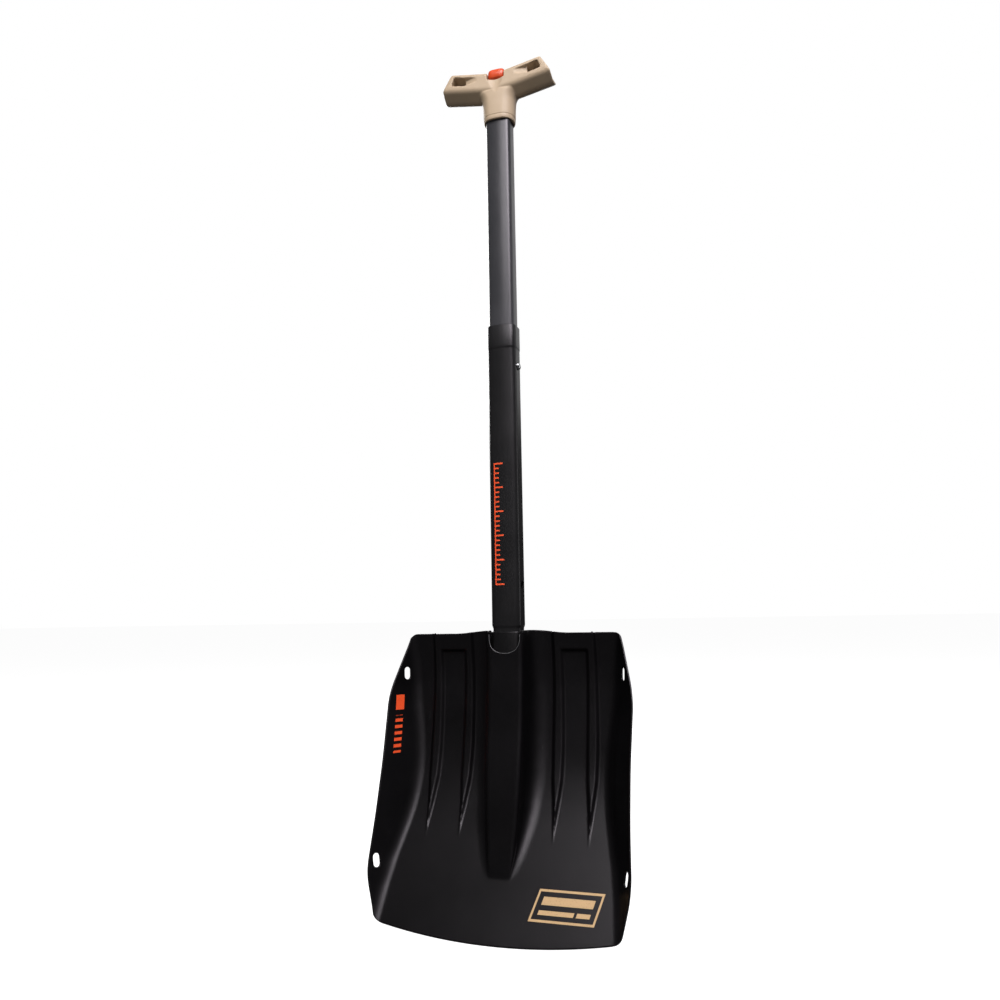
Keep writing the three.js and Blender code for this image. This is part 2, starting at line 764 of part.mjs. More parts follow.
function gripArms() {
  const section = armSection();
  const shares = [-1, -0.975, -0.75, -0.5, -0.3, -0.15, 0, 0.15, 0.3, 0.5, 0.75, 0.975, 1];
  const rings = shares.map((share) => {
    const shrink = Math.abs(share) === 1 ? 0.94 : 1;
    return section.map(([depth, drop]) => {
      const middle = -GRIP_KEEL_DROP / 2;
      const x = share * armReach(drop);
      const lowered = middle + (drop - middle) * shrink;
      return [x, depth * shrink, armTop(x) + lowered];
    });
  });
  return skin(rings, false);
}

function collarSection(width, depth) {
  return { width, depth, radius: Math.min(width, depth) * 0.36 };
}

function gripCollar() {
  return plugFrom([
    [collarSection(33.4, 29.4), COLLAR_BOTTOM],
    [collarSection(34.4, 30.4), COLLAR_BOTTOM + 1],
    [collarSection(34.8, 30.8), COLLAR_BOTTOM + 4],
    [collarSection(35.2, 30.6), COLLAR_BOTTOM + 5],
    [collarSection(36.0, 30.8), COLLAR_BOTTOM + 18],
    [collarSection(37.4, 31.0), COLLAR_BOTTOM + 26],
    [collarSection(41.0, 31.0), COLLAR_BOTTOM + 30.5],
    [collarSection(48.0, 30.6), COLLAR_BOTTOM + 35],
  ]);
}

// A window in one arm: a ramp on each face that deepens outwards and ends in an open hole.
function windowCutters(side) {
  const hole = new THREE.Shape();
  hole.moveTo(side * 36, 679.2);
  hole.lineTo(side * 50.3, 682);
  hole.quadraticCurveTo(side * 52, 682.6, side * 51, 685);
  hole.lineTo(side * 49, 690);
  hole.quadraticCurveTo(side * 48, 692, side * 46, 691.4);
  hole.lineTo(side * 36, 688.6);
  const through = new THREE.ExtrudeGeometry(hole, { depth: 40, bevelEnabled: false, curveSegments: 4 });
  through.translate(0, 0, -20);
  through.rotateX(Math.PI / 2);
  const face = GRIP_DEPTH / 2;
  const recess = (facing) => {
    const ramp = [[20.5, 681.6, -0.2], [20.5, 686, -0.2], [37, 688.9, 4.4], [37, 679.4, 4.4]];
    const outer = ramp.map(([x, z]) => [side * x, facing * (face + 2), z]);
    const floor = ramp.map(([x, z, deep]) => [side * x, facing * (face - deep), z]);
    return prismBetween(outer, floor);
  };
  return [through, recess(1), recess(-1)];
}

// A closed prism between two outlines of matching corners, whichever way round they are given.
function prismBetween(first, second) {
  const a = new THREE.Vector3(...first[0]);
  const normal = new THREE.Vector3(...first[1]).sub(a).cross(new THREE.Vector3(...first[2]).sub(a));
  const towards = new THREE.Vector3(...second[0]).sub(a);
  return normal.dot(towards) > 0 ? skin([first, second], false) : skin([second, first], false);
}

function gripBodyGeometry() {
  const bore = plugFrom([[GRIP_BORE, COLLAR_BOTTOM - 5], [GRIP_BORE, UPPER_TOP + FIT_GAP]]);
  const cutters = [
    bore,
    thumbDishCutter(),
    // pocket for the release button, open to the front and top, with room for it to move back
    boxBetween([-9.9, -20, 680.8], [9.9, 7.5, 700]),
    // way down for the latch tongue
    boxBetween([-5.3, -11.2, 655], [5.3, -4.2, 684]),
    // room for the tongue's top to move back with the button
    boxBetween([-5.3, -5, 679.4], [5.3, -0.6, 684]),
    // seat for the saw holder's stem
    boxBetween([-7.3, -3.3, 655], [7.3, 8.3, 676.3]),
    barAlong('y', 6, 10.9, 3.5, [0, 0, 684]),
    barAlong('y', 0, 20, 2.3, [0, 0, 670]),
    barAlong('y', 12.2, 20, 4.1, [0, 0, 670]),
    ...windowCutters(1),
    ...windowCutters(-1),
  ];
  return cut(join([gripArms(), gripCollar()]), cutters);
}

// A thumb dish below the button: a slanted round trough that runs out at the collar.
function thumbDishCutter() {
  const dish = barAlong('z', -40, 40, 14, [0, 0, 0], 36);
  dish.rotateX(THREE.MathUtils.degToRad(-9));
  dish.translate(0, -26.6, 683);
  return dish;
}

function releaseButtonGeometry() {
  const rings = [];
  const profile = [
    // height, front, back, half width
    [681.4, -11.8, 2.6, 8.8],
    [682.8, -13.9, 2.8, 9.4],
    [685.8, -14.8, 2.8, 9.6],
    [689.4, -14.8, 2.8, 9.6],
    [692.6, -13.0, 2.2, 9.2],
    [695, -9.4, -0.6, 7.6],
    [696, -6.6, -3.4, 4.2],
  ];
  for (const [height, front, back, half] of profile) {
    const middle = (front + back) / 2;
    const deep = (back - front) / 2;
    const ring = [];
    const count = 20;
    for (let i = 0; i < count; i += 1) {
      const angle = i / count * 2 * Math.PI;
      const square = (value) => Math.sign(value) * Math.abs(value) ** 0.5;
      ring.push([half * square(Math.cos(angle)), middle + deep * square(Math.sin(angle)), height]);
    }
    rings.push(ring);
  }
  return skin(rings, false);
}

// Spring-steel tongue under the button. Its tooth stands in the window near the top of the upper tube.
function latchTongueGeometry() {
  return join([
    boxBetween([-4.6, -10.0, 647.2], [4.6, -8.6, 680.2]),
    boxBetween([-4.4, -11.7, 647.4], [4.4, -9.6, 652.6]),
    boxBetween([-4.6, -10.0, 679.8], [4.6, -4.6, 681.0]),
  ]);
}

function sawHolderGeometry() {
  const inside = offsetSection(UPPER_TUBE, -SHAFT_WALL - FIT_GAP);
  const plug = plugFrom([[inside, 638], [inside, UPPER_TOP]]);
  const stem = boxBetween([-7, -3, 655], [7, 8, 676]);
  const sawSlot = boxBetween([-0.9, -4.8, 630], [0.9, 20, SAW_TOP + 0.5]);
  const tongueWay = boxBetween([-5.2, -15, 630], [5.2, -4.8, 680]);
  return cut(join([plug, stem]), [
    sawSlot,
    tongueWay,
    barAlong('x', -20, 20, 2.0, [0, 3, 644.5], 16),
    barAlong('x', -20, 20, 2.0, [0, 3, 655], 16),
    barAlong('y', 0, 20, 1.9, [0, 0, 670], 16),
  ]);
}

function rivetGeometry(height) {
  return turnedAlong('x', [[0, -12.1], [1.7, -12.1], [1.7, 12.1], [0, 12.1]], [0, 3, height], 16);
}

function holderScrewGeometry() {
  return turnedAlong('y', [
    [0, 0.6], [1.1, 0.6], [1.6, 1.8], [1.6, 12.5], [3.8, 12.5], [3.8, 14.4], [2.6, 15], [1.2, 15],
    [1.2, 13.8], [0, 13.8],
  ], [0, 0, 670], 16);
}

function sawGeometry() {
  const shape = new THREE.Shape();
  const spine = 8;
  const root = -5.4;
  const tip = -8;
  shape.moveTo(spine, SAW_TOP);
  shape.lineTo(-4.4, SAW_TOP);
  shape.lineTo(-4.4, 636);
  shape.lineTo(root, 630);
  for (let height = 626; height > SAW_BOTTOM + 14; height -= TOOTH_PITCH) {
    shape.lineTo(root, height);
    shape.lineTo(tip, height - TOOTH_PITCH * 0.72);
  }
  shape.lineTo(root, SAW_BOTTOM + 10);
  shape.lineTo(2, SAW_BOTTOM);
  shape.lineTo(spine, SAW_BOTTOM + 3);
  shape.closePath();
  const blade = new THREE.ExtrudeGeometry(shape, { depth: SAW_THICKNESS, bevelEnabled: false });
  blade.translate(0, 0, -SAW_THICKNESS / 2);
  blade.applyMatrix4(new THREE.Matrix4().makeBasis(
    new THREE.Vector3(0, 1, 0), new THREE.Vector3(0, 0, 1), new THREE.Vector3(1, 0, 0),
  ));
  return cut(blade, [
    barAlong('x', -5, 5, 2.0, [0, 3, 644.5], 16),
    barAlong('x', -5, 5, 2.0, [0, 3, 655], 16),
  ]);
}

// ---------------------------------------------------------------- materials and assembly

function material(colour, roughness, metalness) {
  return new THREE.MeshStandardMaterial({ color: colour, roughness, metalness });
}

const blackAnodised = () => material(0x1b1b1e, 0.45, 0.7);
const greyAnodised = () => material(0x47484d, 0.4, 0.8);
const rawAluminium = () => material(0x9a9ba0, 0.5, 0.9);
const springSteel = () => material(0x8c8e92, 0.35, 1.0);
const chromedSteel = () => material(0xd8dadd, 0.12, 1.0);
const sawSteel = () => material(0xa8abb0, 0.3, 1.0);
const tanPlastic = () => material(0x9a8a74, 0.6, 0.0);
const orangePlastic = () => material(0xe0561d, 0.45, 0.0);
const blackPlastic = () => material(0x151516, 0.65, 0.0);

const pieces = [
  ['blade', bladeGeometry, blackAnodised],
  ['blade_socket', socketGeometry, blackAnodised],
  ['socket_weld_left', () => weldGeometry(-1), rawAluminium],
  ['socket_weld_right', () => weldGeometry(1), rawAluminium],
  ['lower_shaft', lowerShaftGeometry, blackAnodised],
  ['shaft_guide', shaftGuideGeometry, blackPlastic],
  ['shaft_end_plug', shaftEndPlugGeometry, blackPlastic],
  ['blade_pin', bladePinGeometry, chromedSteel],
  ['blade_pin_spring', bladeClipGeometry, springSteel],
  ['upper_shaft', upperShaftGeometry, greyAnodised],
  ['shaft_glide', shaftGlideGeometry, blackPlastic],
  ['extension_pin', extensionPinGeometry, chromedSteel],
  ['extension_pin_spring', extensionClipGeometry, springSteel],
  ['grip_body', gripBodyGeometry, tanPlastic],
  ['release_button', releaseButtonGeometry, orangePlastic],
  ['latch_tongue', latchTongueGeometry, springSteel],
  ['button_spring', coilSpringGeometry, springSteel],
  ['saw_holder', sawHolderGeometry, blackPlastic],
  ['saw_blade', sawGeometry, sawSteel],
  ['saw_rivet_upper', () => rivetGeometry(655), rawAluminium],
  ['saw_rivet_lower', () => rivetGeometry(644.5), rawAluminium],
  ['holder_screw', holderScrewGeometry, springSteel],
];

const shovel = new THREE.Group();
shovel.name = 'avalanche_shovel';
for (const [name, geometry, finish] of pieces) {
  const mesh = new THREE.Mesh(geometry(), finish());
  mesh.name = name;
  shovel.add(mesh);
}

// Stand the box of the whole model on Z = 0, centred on X and Y.
const whole = new THREE.Box3().setFromObject(shovel);
shovel.position.set(
  -(whole.min.x + whole.max.x) / 2,
  -(whole.min.y + whole.max.y) / 2,
  -whole.min.z,
);

export default shovel;
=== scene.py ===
"""Looks for the avalanche shovel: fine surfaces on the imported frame, procedural materials and a studio."""

import math

import bmesh
import bpy
import numpy as np
from mathutils import Matrix, Vector


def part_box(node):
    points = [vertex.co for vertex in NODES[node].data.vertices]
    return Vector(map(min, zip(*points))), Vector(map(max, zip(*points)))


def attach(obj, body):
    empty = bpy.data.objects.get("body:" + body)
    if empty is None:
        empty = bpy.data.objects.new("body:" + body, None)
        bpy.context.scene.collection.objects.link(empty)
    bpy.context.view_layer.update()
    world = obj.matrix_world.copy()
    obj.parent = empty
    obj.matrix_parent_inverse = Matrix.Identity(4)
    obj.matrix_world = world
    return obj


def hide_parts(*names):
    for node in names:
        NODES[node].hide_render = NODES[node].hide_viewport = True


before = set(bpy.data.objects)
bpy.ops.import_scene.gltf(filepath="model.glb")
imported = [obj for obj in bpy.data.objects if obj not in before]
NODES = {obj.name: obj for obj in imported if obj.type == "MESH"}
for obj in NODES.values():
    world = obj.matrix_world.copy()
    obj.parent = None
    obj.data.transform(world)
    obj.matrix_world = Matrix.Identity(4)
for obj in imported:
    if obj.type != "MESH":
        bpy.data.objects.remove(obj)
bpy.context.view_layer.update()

# Lengths are in millimetres in the drawing frame, whose Z axis is the shaft's centre line, until a mesh
# is made.
low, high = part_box("lower_shaft")
SHIFT = np.array([0.0, (low.y + high.y) * 500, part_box("upper_shaft")[0].z * 1000 - 335])

CROWN = 2.4
LOWER_TUBE = (31.0, 27.0, 5.0)
FLARE_TUBE = (31.7, 27.8, 5.4)
NECK_TUBE = (29.0, 24.8, 4.4)
UPPER_TUBE = (27.6, 23.6, 3.8)
SOCKET_TUBE = (32.8, 28.6, 5.9)
SHAFT_WALL = 1.2
FLARE_WALL = 1.0
SOCKET_WALL = 1.6
PIN_RADIUS = 4.0
PIN_HOLE_RADIUS = 4.3
EXTENSION_PIN_HEIGHT = 354.2
STOWED_PIN_HEIGHT = 122.6
BLADE_PIN_HEIGHT = 30
SHEET = 2.0
SIDE_TOP = 73.4
SIDE_BOTTOM = -193.2
FLANGE_SLOPE = 1.6
CREASE_BLEND = 6.0
RIB_RAISE = 3.6
RIB_WALL = 4.2
INNER_RIB = 47.8
OUTER_RIB = 82.6
RIB_TIP = -127.0
BAR_BOTTOM = 58.0
SLOTS = [(115.0, 32.7), (121.8, -142.3)]
SLOT_WIDTH = 7.0
SLOT_LENGTH = 12.8
NOTCH_HALF_WIDTH = 16.1
NOTCH_BOTTOM = 53.8
CUT_EDGE_RADIUS = 0.48
SLOT_EDGE_RADIUS = 0.97


# ---------------------------------------------------------------- meshes

def to_object(name, points, faces, smooth=35):
    """A mesh object from points in the drawing frame, smooth shaded below the given angle."""
    mesh = bpy.data.meshes.new(name)
    place = (np.asarray(points, float) + SHIFT) / 1000
    mesh.from_pydata(place.tolist(), [], [list(f) for f in faces])
    mesh.update()
    piece = bpy.data.objects.new(name, mesh)
    bpy.context.scene.collection.objects.link(piece)
    shade(piece, smooth)
    return piece


def shade(piece, smooth=35):
    mesh = piece.data
    mesh.polygons.foreach_set("use_smooth", [True] * len(mesh.polygons))
    mesh.set_sharp_from_angle(angle=math.radians(smooth))


def bake_modifiers(piece):
    bpy.context.view_layer.update()
    graph = bpy.context.evaluated_depsgraph_get()
    mesh = bpy.data.meshes.new_from_object(piece.evaluated_get(graph))
    piece.modifiers.clear()
    piece.data = mesh


def combine(piece, others, operation):
    """One boolean per cutter or addition. The other objects are used up."""
    for other in others:
        modifier = piece.modifiers.new("b", "BOOLEAN")
        modifier.operation = operation
        modifier.solver = "MANIFOLD"
        modifier.object = other
        bake_modifiers(piece)
        bpy.data.objects.remove(other)


def skin(name, rings, looped, smooth=35):
    """Rings of equal point counts joined into a closed surface, capped unless looped."""
    rings = np.asarray(rings, float)
    steps, count = rings.shape[:2]
    points = rings.reshape(-1, 3)
    faces = []
    for r in range(steps if looped else steps - 1):
        here, there = r * count, (r + 1) % steps * count
        for i in range(count):
            j = (i + 1) % count
            faces.append((here + i, here + j, there + j, there + i))
    if not looped:
        faces.append(tuple(range(count - 1, -1, -1)))
        faces.append(tuple((steps - 1) * count + i for i in range(count)))
    return to_object(name, points, faces, smooth)


def outward(piece):
    """Face directions made to point outwards."""
    bm = bmesh.new()
    bm.from_mesh(piece.data)
    bmesh.ops.recalc_face_normals(bm, faces=bm.faces)
    bm.to_mesh(piece.data)
    bm.free()
    return piece


def offset(section, by):
    return (section[0] + 2 * by, section[1] + 2 * by, section[2] + by)


def blend_sections(a, b, share):
    return tuple(p + (q - p) * share for p, q in zip(a, b))


def section_ring(section, z, corner_steps=9, across=12):
    width, depth, radius = section
    half_width, half_depth = width / 2, depth / 2 - CROWN
    flat_x, flat_y = half_width - radius, half_depth - radius
    ring = []
    for corner, (sx, sy) in enumerate([(1, -1), (1, 1), (-1, 1), (-1, -1)]):
        for step in range(corner_steps + 1):
            angle = (corner - 1 + step / corner_steps) * math.pi / 2
            ring.append((sx * flat_x + radius * math.cos(angle), sy * flat_y + radius * math.sin(angle)))
        if corner in (1, 3):
            sign = 1 if corner == 1 else -1
            for k in range(1, across):
                ring.append((sign * flat_x * (1 - 2 * k / across), sign * half_depth))
    out = []
    for x, y in ring:
        crown = CROWN * max(0.0, 1 - (x / half_width) ** 2)
        out.append((x, y + math.copysign(crown * min(1.0, abs(y) / half_depth), y), z))
    return out


def tube(name, outer, inner, smooth=35):
    rings = [section_ring(s, z) for s, z in outer] + [section_ring(s, z) for s, z in reversed(inner)]
    return outward(skin(name, rings, True, smooth))


def step_between(a, b, z0, z1, steps=7):
    """Stations that pass from one section to another on a soft S."""
    out = []
    for k in range(steps + 1):
        t = k / steps
        out.append((blend_sections(a, b, t * t * (3 - 2 * t)), z0 + (z1 - z0) * t))
    return out


def circle(radius, sides):
    turns = [2 * math.pi * k / sides for k in range(sides)]
    return [(radius * math.cos(turn), radius * math.sin(turn)) for turn in turns]


def bend(a, b, c, t):
    """The point at t on the curve from a to c that is pulled towards b."""
    return tuple((1 - t) ** 2 * p + 2 * t * (1 - t) * q + t * t * r for p, q, r in zip(a, b, c))


def rod(name, axis, start, end, radius, through, sides=48):
    ring = circle(radius, sides)
    rings = []
    for along in (start, end):
        if axis == "x":
            rings.append([(along + through[0], a + through[1], b + through[2]) for a, b in ring])
        elif axis == "y":
            rings.append([(b + through[0], along + through[1], a + through[2]) for a, b in ring])
        else:
            rings.append([(a + through[0], b + through[1], along + through[2]) for a, b in ring])
    return skin(name, rings, False)


def turned(name, axis, profile, through, sides=48, smooth=35):
    rings = []
    for radius, along in profile:
        ring = circle(max(radius, 0.02), sides)
        if axis == "x":
            rings.append([(along + through[0], a + through[1], b + through[2]) for a, b in ring])
        else:
            rings.append([(b + through[0], along + through[1], a + through[2]) for a, b in ring])
    return skin(name, rings, False, smooth)


def pin_hole(axis, height):
    return outward(rod("cut", axis, 5, 20, PIN_HOLE_RADIUS, (0, 0, height)))


# ---------------------------------------------------------------- blade

def table(rows):
    rows = np.array(rows, float)
    return lambda z: np.interp(z, rows[:, 0], rows[:, 1])


def softened(line, span):
    return lambda z: sum(line(z + span * (k / 8 - 0.5)) for k in range(9)) / 9


PAN = softened(table([
    [-230, -89.2], [-193, -67.5], [-155, -45], [-142, -37.5], [-121, -24.5], [-100, -12.5],
    [-75, -1.5], [-50, 6], [-20, 11.5], [12, 15], [32, 16.2], [60, 13.5], [100, 6]]), 24)
EDGE_DEPTH = softened(table([
    [-240, -72.3], [-193.3, -69.2], [-151, -66.4], [12.9, -16.9], [74.6, 10.9], [110, 27]]), 10)
EDGE_HALF = softened(table([
    [-240, 105.8], [-151, 127.2], [-100, 125.2], [-50, 124.9], [12.9, 126.8], [80, 110.2]]), 26)
RIDGE_TOP = softened(table([
    [-230, -57], [-148.5, -43.4], [-121, -38.8], [-48.7, -27.3], [-13, -21.2], [40, -16.6],
    [100, -16.6]]), 20)
RIDGE_HALF = softened(table([
    [-165, 8], [-150, 10.5], [-140, 12.5], [-121, 15], [-100, 16.6], [-60, 18.3], [-30, 18.8],
    [100, 18.8]]), 20)
RIDGE_FILLET = table([[-165, 3], [-153, 5], [-138, 9], [-107, 14], [-60, 17], [100, 17]])
CREST_HALF = table([[RIB_TIP, -RIB_WALL], [-70, 2.4], [-40, 3.0], [60, 2.0]])


def smooth_step(a, b, value):
    t = np.clip((value - a) / (b - a), 0, 1)
    return t * t * (3 - 2 * t)


def corner_pull(z):
    """How far the rounded top and bottom corners pull the edge in."""
    pull = np.zeros_like(z)
    for radius, distance in ((5.6, SIDE_TOP - z), (6.4, z - SIDE_BOTTOM)):
        inside = np.clip(radius - distance, 0, radius)
        pull = pull + radius - np.sqrt(radius ** 2 - inside ** 2)
    return pull


def rib_raise(across, z):
    crest = CREST_HALF(z)
    middle = (INNER_RIB + OUTER_RIB) / 2
    reach = (OUTER_RIB - INNER_RIB) / 2 + crest
    bar = np.maximum(np.abs(across - middle) - reach, BAR_BOTTOM - z)
    distance = np.minimum(np.minimum(np.abs(across - INNER_RIB), np.abs(across - OUTER_RIB)) - crest, bar)
    return RIB_RAISE * (1 - smooth_step(0, RIB_WALL, distance))


def pan_surface(across, z):
    rise = np.maximum(0, PAN(z) - EDGE_DEPTH(z))
    past = across - (EDGE_HALF(z) + SHEET / 2 - rise / FLANGE_SLOPE)
    bend = np.maximum(0, past)
    bend = np.where(np.abs(past) < CREASE_BLEND, (past + CREASE_BLEND) ** 2 / (4 * CREASE_BLEND), bend)
    return PAN(z) - FLANGE_SLOPE * bend - rib_raise(across, z)


def ridge_section(z):
    """Half of the ridge's section at each height in z: arrays [point, height] of across and depth."""
    foot = PAN(z)
    top = RIDGE_TOP(z)
    height = np.maximum(0, foot - top)
    half = RIDGE_HALF(z)
    shoulder = np.minimum(4.6, height * 0.35)
    shoulder_reach = np.maximum(2.5, shoulder)
    fillet = np.minimum(RIDGE_FILLET(z), height * 0.6)
    fillet_reach = np.maximum(4, RIDGE_FILLET(z) * 1.08)
    crest = np.minimum(top, foot)
    across, depth = [], []
    for k in range(9):
        across.append((half - shoulder_reach) * k / 8)
        depth.append(crest)
    for k in range(1, 9):
        angle = k / 8 * math.pi / 2
        across.append(half - shoulder_reach * (1 - math.sin(angle)))
        depth.append(crest + shoulder * (1 - math.cos(angle)))
    for k in range(1, 5):
        across.append(half + 0.8 * k / 4)
        depth.append((crest + shoulder) + (foot - fillet - crest - shoulder) * k / 4)
    for k in range(1, 15):
        angle = k / 14 * math.pi / 2
        across.append(half + 0.8 + fillet_reach * (1 - math.cos(angle)))
        depth.append(foot - fillet * (1 - math.sin(angle)))
    return np.array(across), np.array(depth)


def row_height(side, across):
    share = (SIDE_TOP - side) / (SIDE_TOP - SIDE_BOTTOM)
    sag = 10.0 * (1 - (across / 118) ** 2) * share ** 3
    rise = 3.2 * (1 - smooth_step(20, 62, across)) * (1 - share) ** 6
    return side - np.maximum(0, sag) + rise


def blade_rows():
    arc = [1 - math.cos(k / 8 * math.pi / 2) for k in range(9)]
    top = [SIDE_TOP - 5.6 * a for a in arc]
    bottom = [SIDE_BOTTOM + 6.4 * a for a in reversed(arc)]
    middle = np.linspace(top[-1], bottom[0], 200)[1:-1]
    return np.array(top + list(middle) + bottom)


def blade_piece():
    side = blade_rows()
    first, _ = ridge_section(row_height(side, 0 * side))
    grid = []
    for i in range(len(first)):
        z = row_height(side, first[i])
        across, depth = ridge_section(z)
        grid.append((across[i], depth[i], z))
    foot = grid[-1][0]
    rim = EDGE_HALF(side) - corner_pull(side)
    shares = np.linspace(0, 1, 104)[1:]
    columns = [foot + (rim - 2.2 - foot) * s for s in shares] + [rim - d for d in (1.4, 0.8, 0.4, 0.12, 0.0)]
    for across in columns:
        z = row_height(side, across)
        grid.append((across, pan_surface(across, z), z))
    half = np.array(grid).transpose(2, 0, 1)
    mirrored = half[:, :0:-1] * np.array([-1, 1, 1])
    surface = np.concatenate([mirrored, half], axis=1)
    along = np.gradient(surface, axis=1)
    down = np.gradient(surface, axis=0)
    inward = np.cross(along, down)
    inward /= np.linalg.norm(inward, axis=2, keepdims=True)
    inward *= np.sign(inward[..., 1:2])
    from_rim = np.array([rim - np.abs(surface[:, c, 0]) for c in range(surface.shape[1])]).T
    from_ends = np.minimum(SIDE_TOP - side, side - SIDE_BOTTOM)[:, None]
    inside = np.clip(0.75 - np.minimum(from_rim, from_ends), 0, 0.75)
    ease = (0.75 - np.sqrt(0.75 ** 2 - inside ** 2))[..., None]
    front = surface + inward * ease
    back = surface + inward * (SHEET - ease)
    rows, count = surface.shape[:2]
    size = rows * count
    faces = []
    for r in range(rows - 1):
        for c in range(count - 1):
            a = r * count + c
            b = a + count
            faces.append((a, b, b + 1, a + 1))
            faces.append((size + a, size + a + 1, size + b + 1, size + b))
    rim_loop = [c for c in range(count)] + [r * count + count - 1 for r in range(1, rows)]
    rim_loop += [(rows - 1) * count + c for c in range(count - 2, -1, -1)]
    rim_loop += [r * count for r in range(rows - 2, 0, -1)]
    for k, a in enumerate(rim_loop):
        b = rim_loop[(k + 1) % len(rim_loop)]
        faces.append((a, b, size + b, size + a))
    points = np.concatenate([front.reshape(-1, 3), back.reshape(-1, 3)])
    piece = outward(to_object("blade_sheet", points, faces, 50))
    combine(piece, [slot_cutter(x, z, s) for s in (1, -1) for x, z in SLOTS] + [notch_cutter()], "DIFFERENCE")
    shade(piece, 50)
    return piece


def flange_frame(across, z, side):
    """Centre and directions (wide, long, normal) of a slot in the flange."""
    def surface(x, height):
        return float(pan_surface(np.array(x), np.array(height)))

    depth = surface(across, z)
    along_x = surface(across + 0.5, z) - surface(across - 0.5, z)
    along_z = surface(across, z + 0.5) - surface(across, z - 0.5)
    normal = Vector((-side * along_x, 1, -along_z)).normalized()
    long = (Vector((0, 0, 1)) - Vector((0, 0, 1)).dot(normal) * normal).normalized()
    return Vector((side * across, depth, z)), long.cross(normal), long, normal


def stadium(grow, steps=20):
    radius = SLOT_WIDTH / 2 + grow
    straight = SLOT_LENGTH / 2 - SLOT_WIDTH / 2
    out = []
    for end in (1, -1):
        for k in range(steps + 1):
            angle = (0 if end == 1 else math.pi) + k / steps * math.pi
            out.append((radius * math.cos(angle), end * straight + radius * math.sin(angle)))
    return out


def slot_cutter(across, z, side):
    centre, wide, long, normal = flange_frame(across, z, side)
    rings = [[tuple(centre + wide * u + long * v + normal * d) for u, v in stadium(0.9)] for d in (-8, 8)]
    return outward(skin("slot_cutter", rings, False))


def slot_edge(name, across, z, side):
    """The rounded, deburred edge of a slot."""
    centre, wide, long, normal = flange_frame(across, z, side)
    middle = centre + normal * (SHEET / 2)
    path = stadium(0.96)
    rings = []
    for k, (u, v) in enumerate(path):
        before, after = path[k - 1], path[(k + 1) % len(path)]
        run = math.hypot(after[0] - before[0], after[1] - before[1])
        nx, ny = (after[1] - before[1]) / run, -(after[0] - before[0]) / run
        ring = []
        for s in range(12):
            angle = s / 12 * 2 * math.pi
            out, up = SLOT_EDGE_RADIUS * math.cos(angle), SLOT_EDGE_RADIUS * math.sin(angle)
            ring.append(tuple(middle + wide * (u + nx * out) + long * (v + ny * out) + normal * up))
        rings.append(ring)
    return outward(skin(name, rings, True, 60))


def bezier(a, b, c, d, steps):
    out = []
    for k in range(steps):
        t = k / steps
        out.append(tuple((1 - t) ** 3 * p + 3 * t * (1 - t) ** 2 * q + 3 * t * t * (1 - t) * r + t ** 3 * s
                         for p, q, r, s in zip(a, b, c, d)))
    return out


def notch_half():
    """Right half of the U in the top edge, from its mouth down to the middle: (across, height)."""
    mouth, knee, side, foot = (17.3, 80.0), (16.3, 75.0), (NOTCH_HALF_WIDTH, 68.0), (0.0, NOTCH_BOTTOM)
    lift = [bend(mouth, knee, side, t) for t in np.linspace(0, 1, 17)[:-1]]
    return lift + bezier(side, (NOTCH_HALF_WIDTH, 58.0), (9.0, NOTCH_BOTTOM), foot, 28) + [foot]


def notch_outline():
    half = notch_half()
    return half + [(-x, z) for x, z in reversed(half[:-1])]


def notch_cutter():
    rings = [[(x, y, z) for x, z in notch_outline()] for y in (-30, 30)]
    return outward(skin("notch_cutter", rings, False))


def notch_edge():
    """The deburred edge of the U, a fine rounded line along the front of the sheet."""
    path = [(x, z) for x, z in notch_outline() if z < 73.0]
    middle = []
    for x, z in path:
        across, depth = ridge_section(np.array([z]))
        middle.append(Vector((x, float(np.interp(abs(x), across[:, 0], depth[:, 0])) + 0.5, z)))
    rings = []
    for k, point in enumerate(middle):
        tangent = (middle[min(len(middle) - 1, k + 1)] - middle[max(0, k - 1)]).normalized()
        side = tangent.cross(Vector((0, 1, 0))).normalized()
        up = side.cross(tangent).normalized()
        ring = []
        for a in [s / 10 * 2 * math.pi for s in range(10)]:
            out, lift = CUT_EDGE_RADIUS * math.cos(a), CUT_EDGE_RADIUS * math.sin(a)
            ring.append(tuple(point + side * out + up * lift))
        rings.append(ring)
    return outward(skin("notch_edge", rings, False, 60))


def weld_piece(name, side):
    """A bead laid in overlapping ripples in the corner between the socket tube and the ridge's wall."""
    rings = []
    steps = 260
    seed = np.random.default_rng(5 if side > 0 else 6)
    knots = np.arange(0, steps + 21, 20)
    wander = np.interp(np.arange(steps + 1), knots, seed.normal(0, 0.06, len(knots)))
    for k in range(steps + 1):
        z = -8 + 78 * k / steps
        ripple = abs(math.sin(math.pi * z / 2.3)) ** 0.6
        swell = 1.36 + 0.18 * ripple + wander[k]
        if k < 8 or k > steps - 8:
            swell *= 0.55 + 0.45 * math.sqrt(min(k, steps - k) / 8)
        lean = 0.5 * ripple
        rings.append([(side * 18.3 + swell * math.cos(a), 10.6 + swell * math.sin(a), z + lean * math.sin(a))
                      for a in [s / 14 * 2 * math.pi for s in range(14)]])
    return outward(skin(name, rings, False, 60))


# ---------------------------------------------------------------- shafts

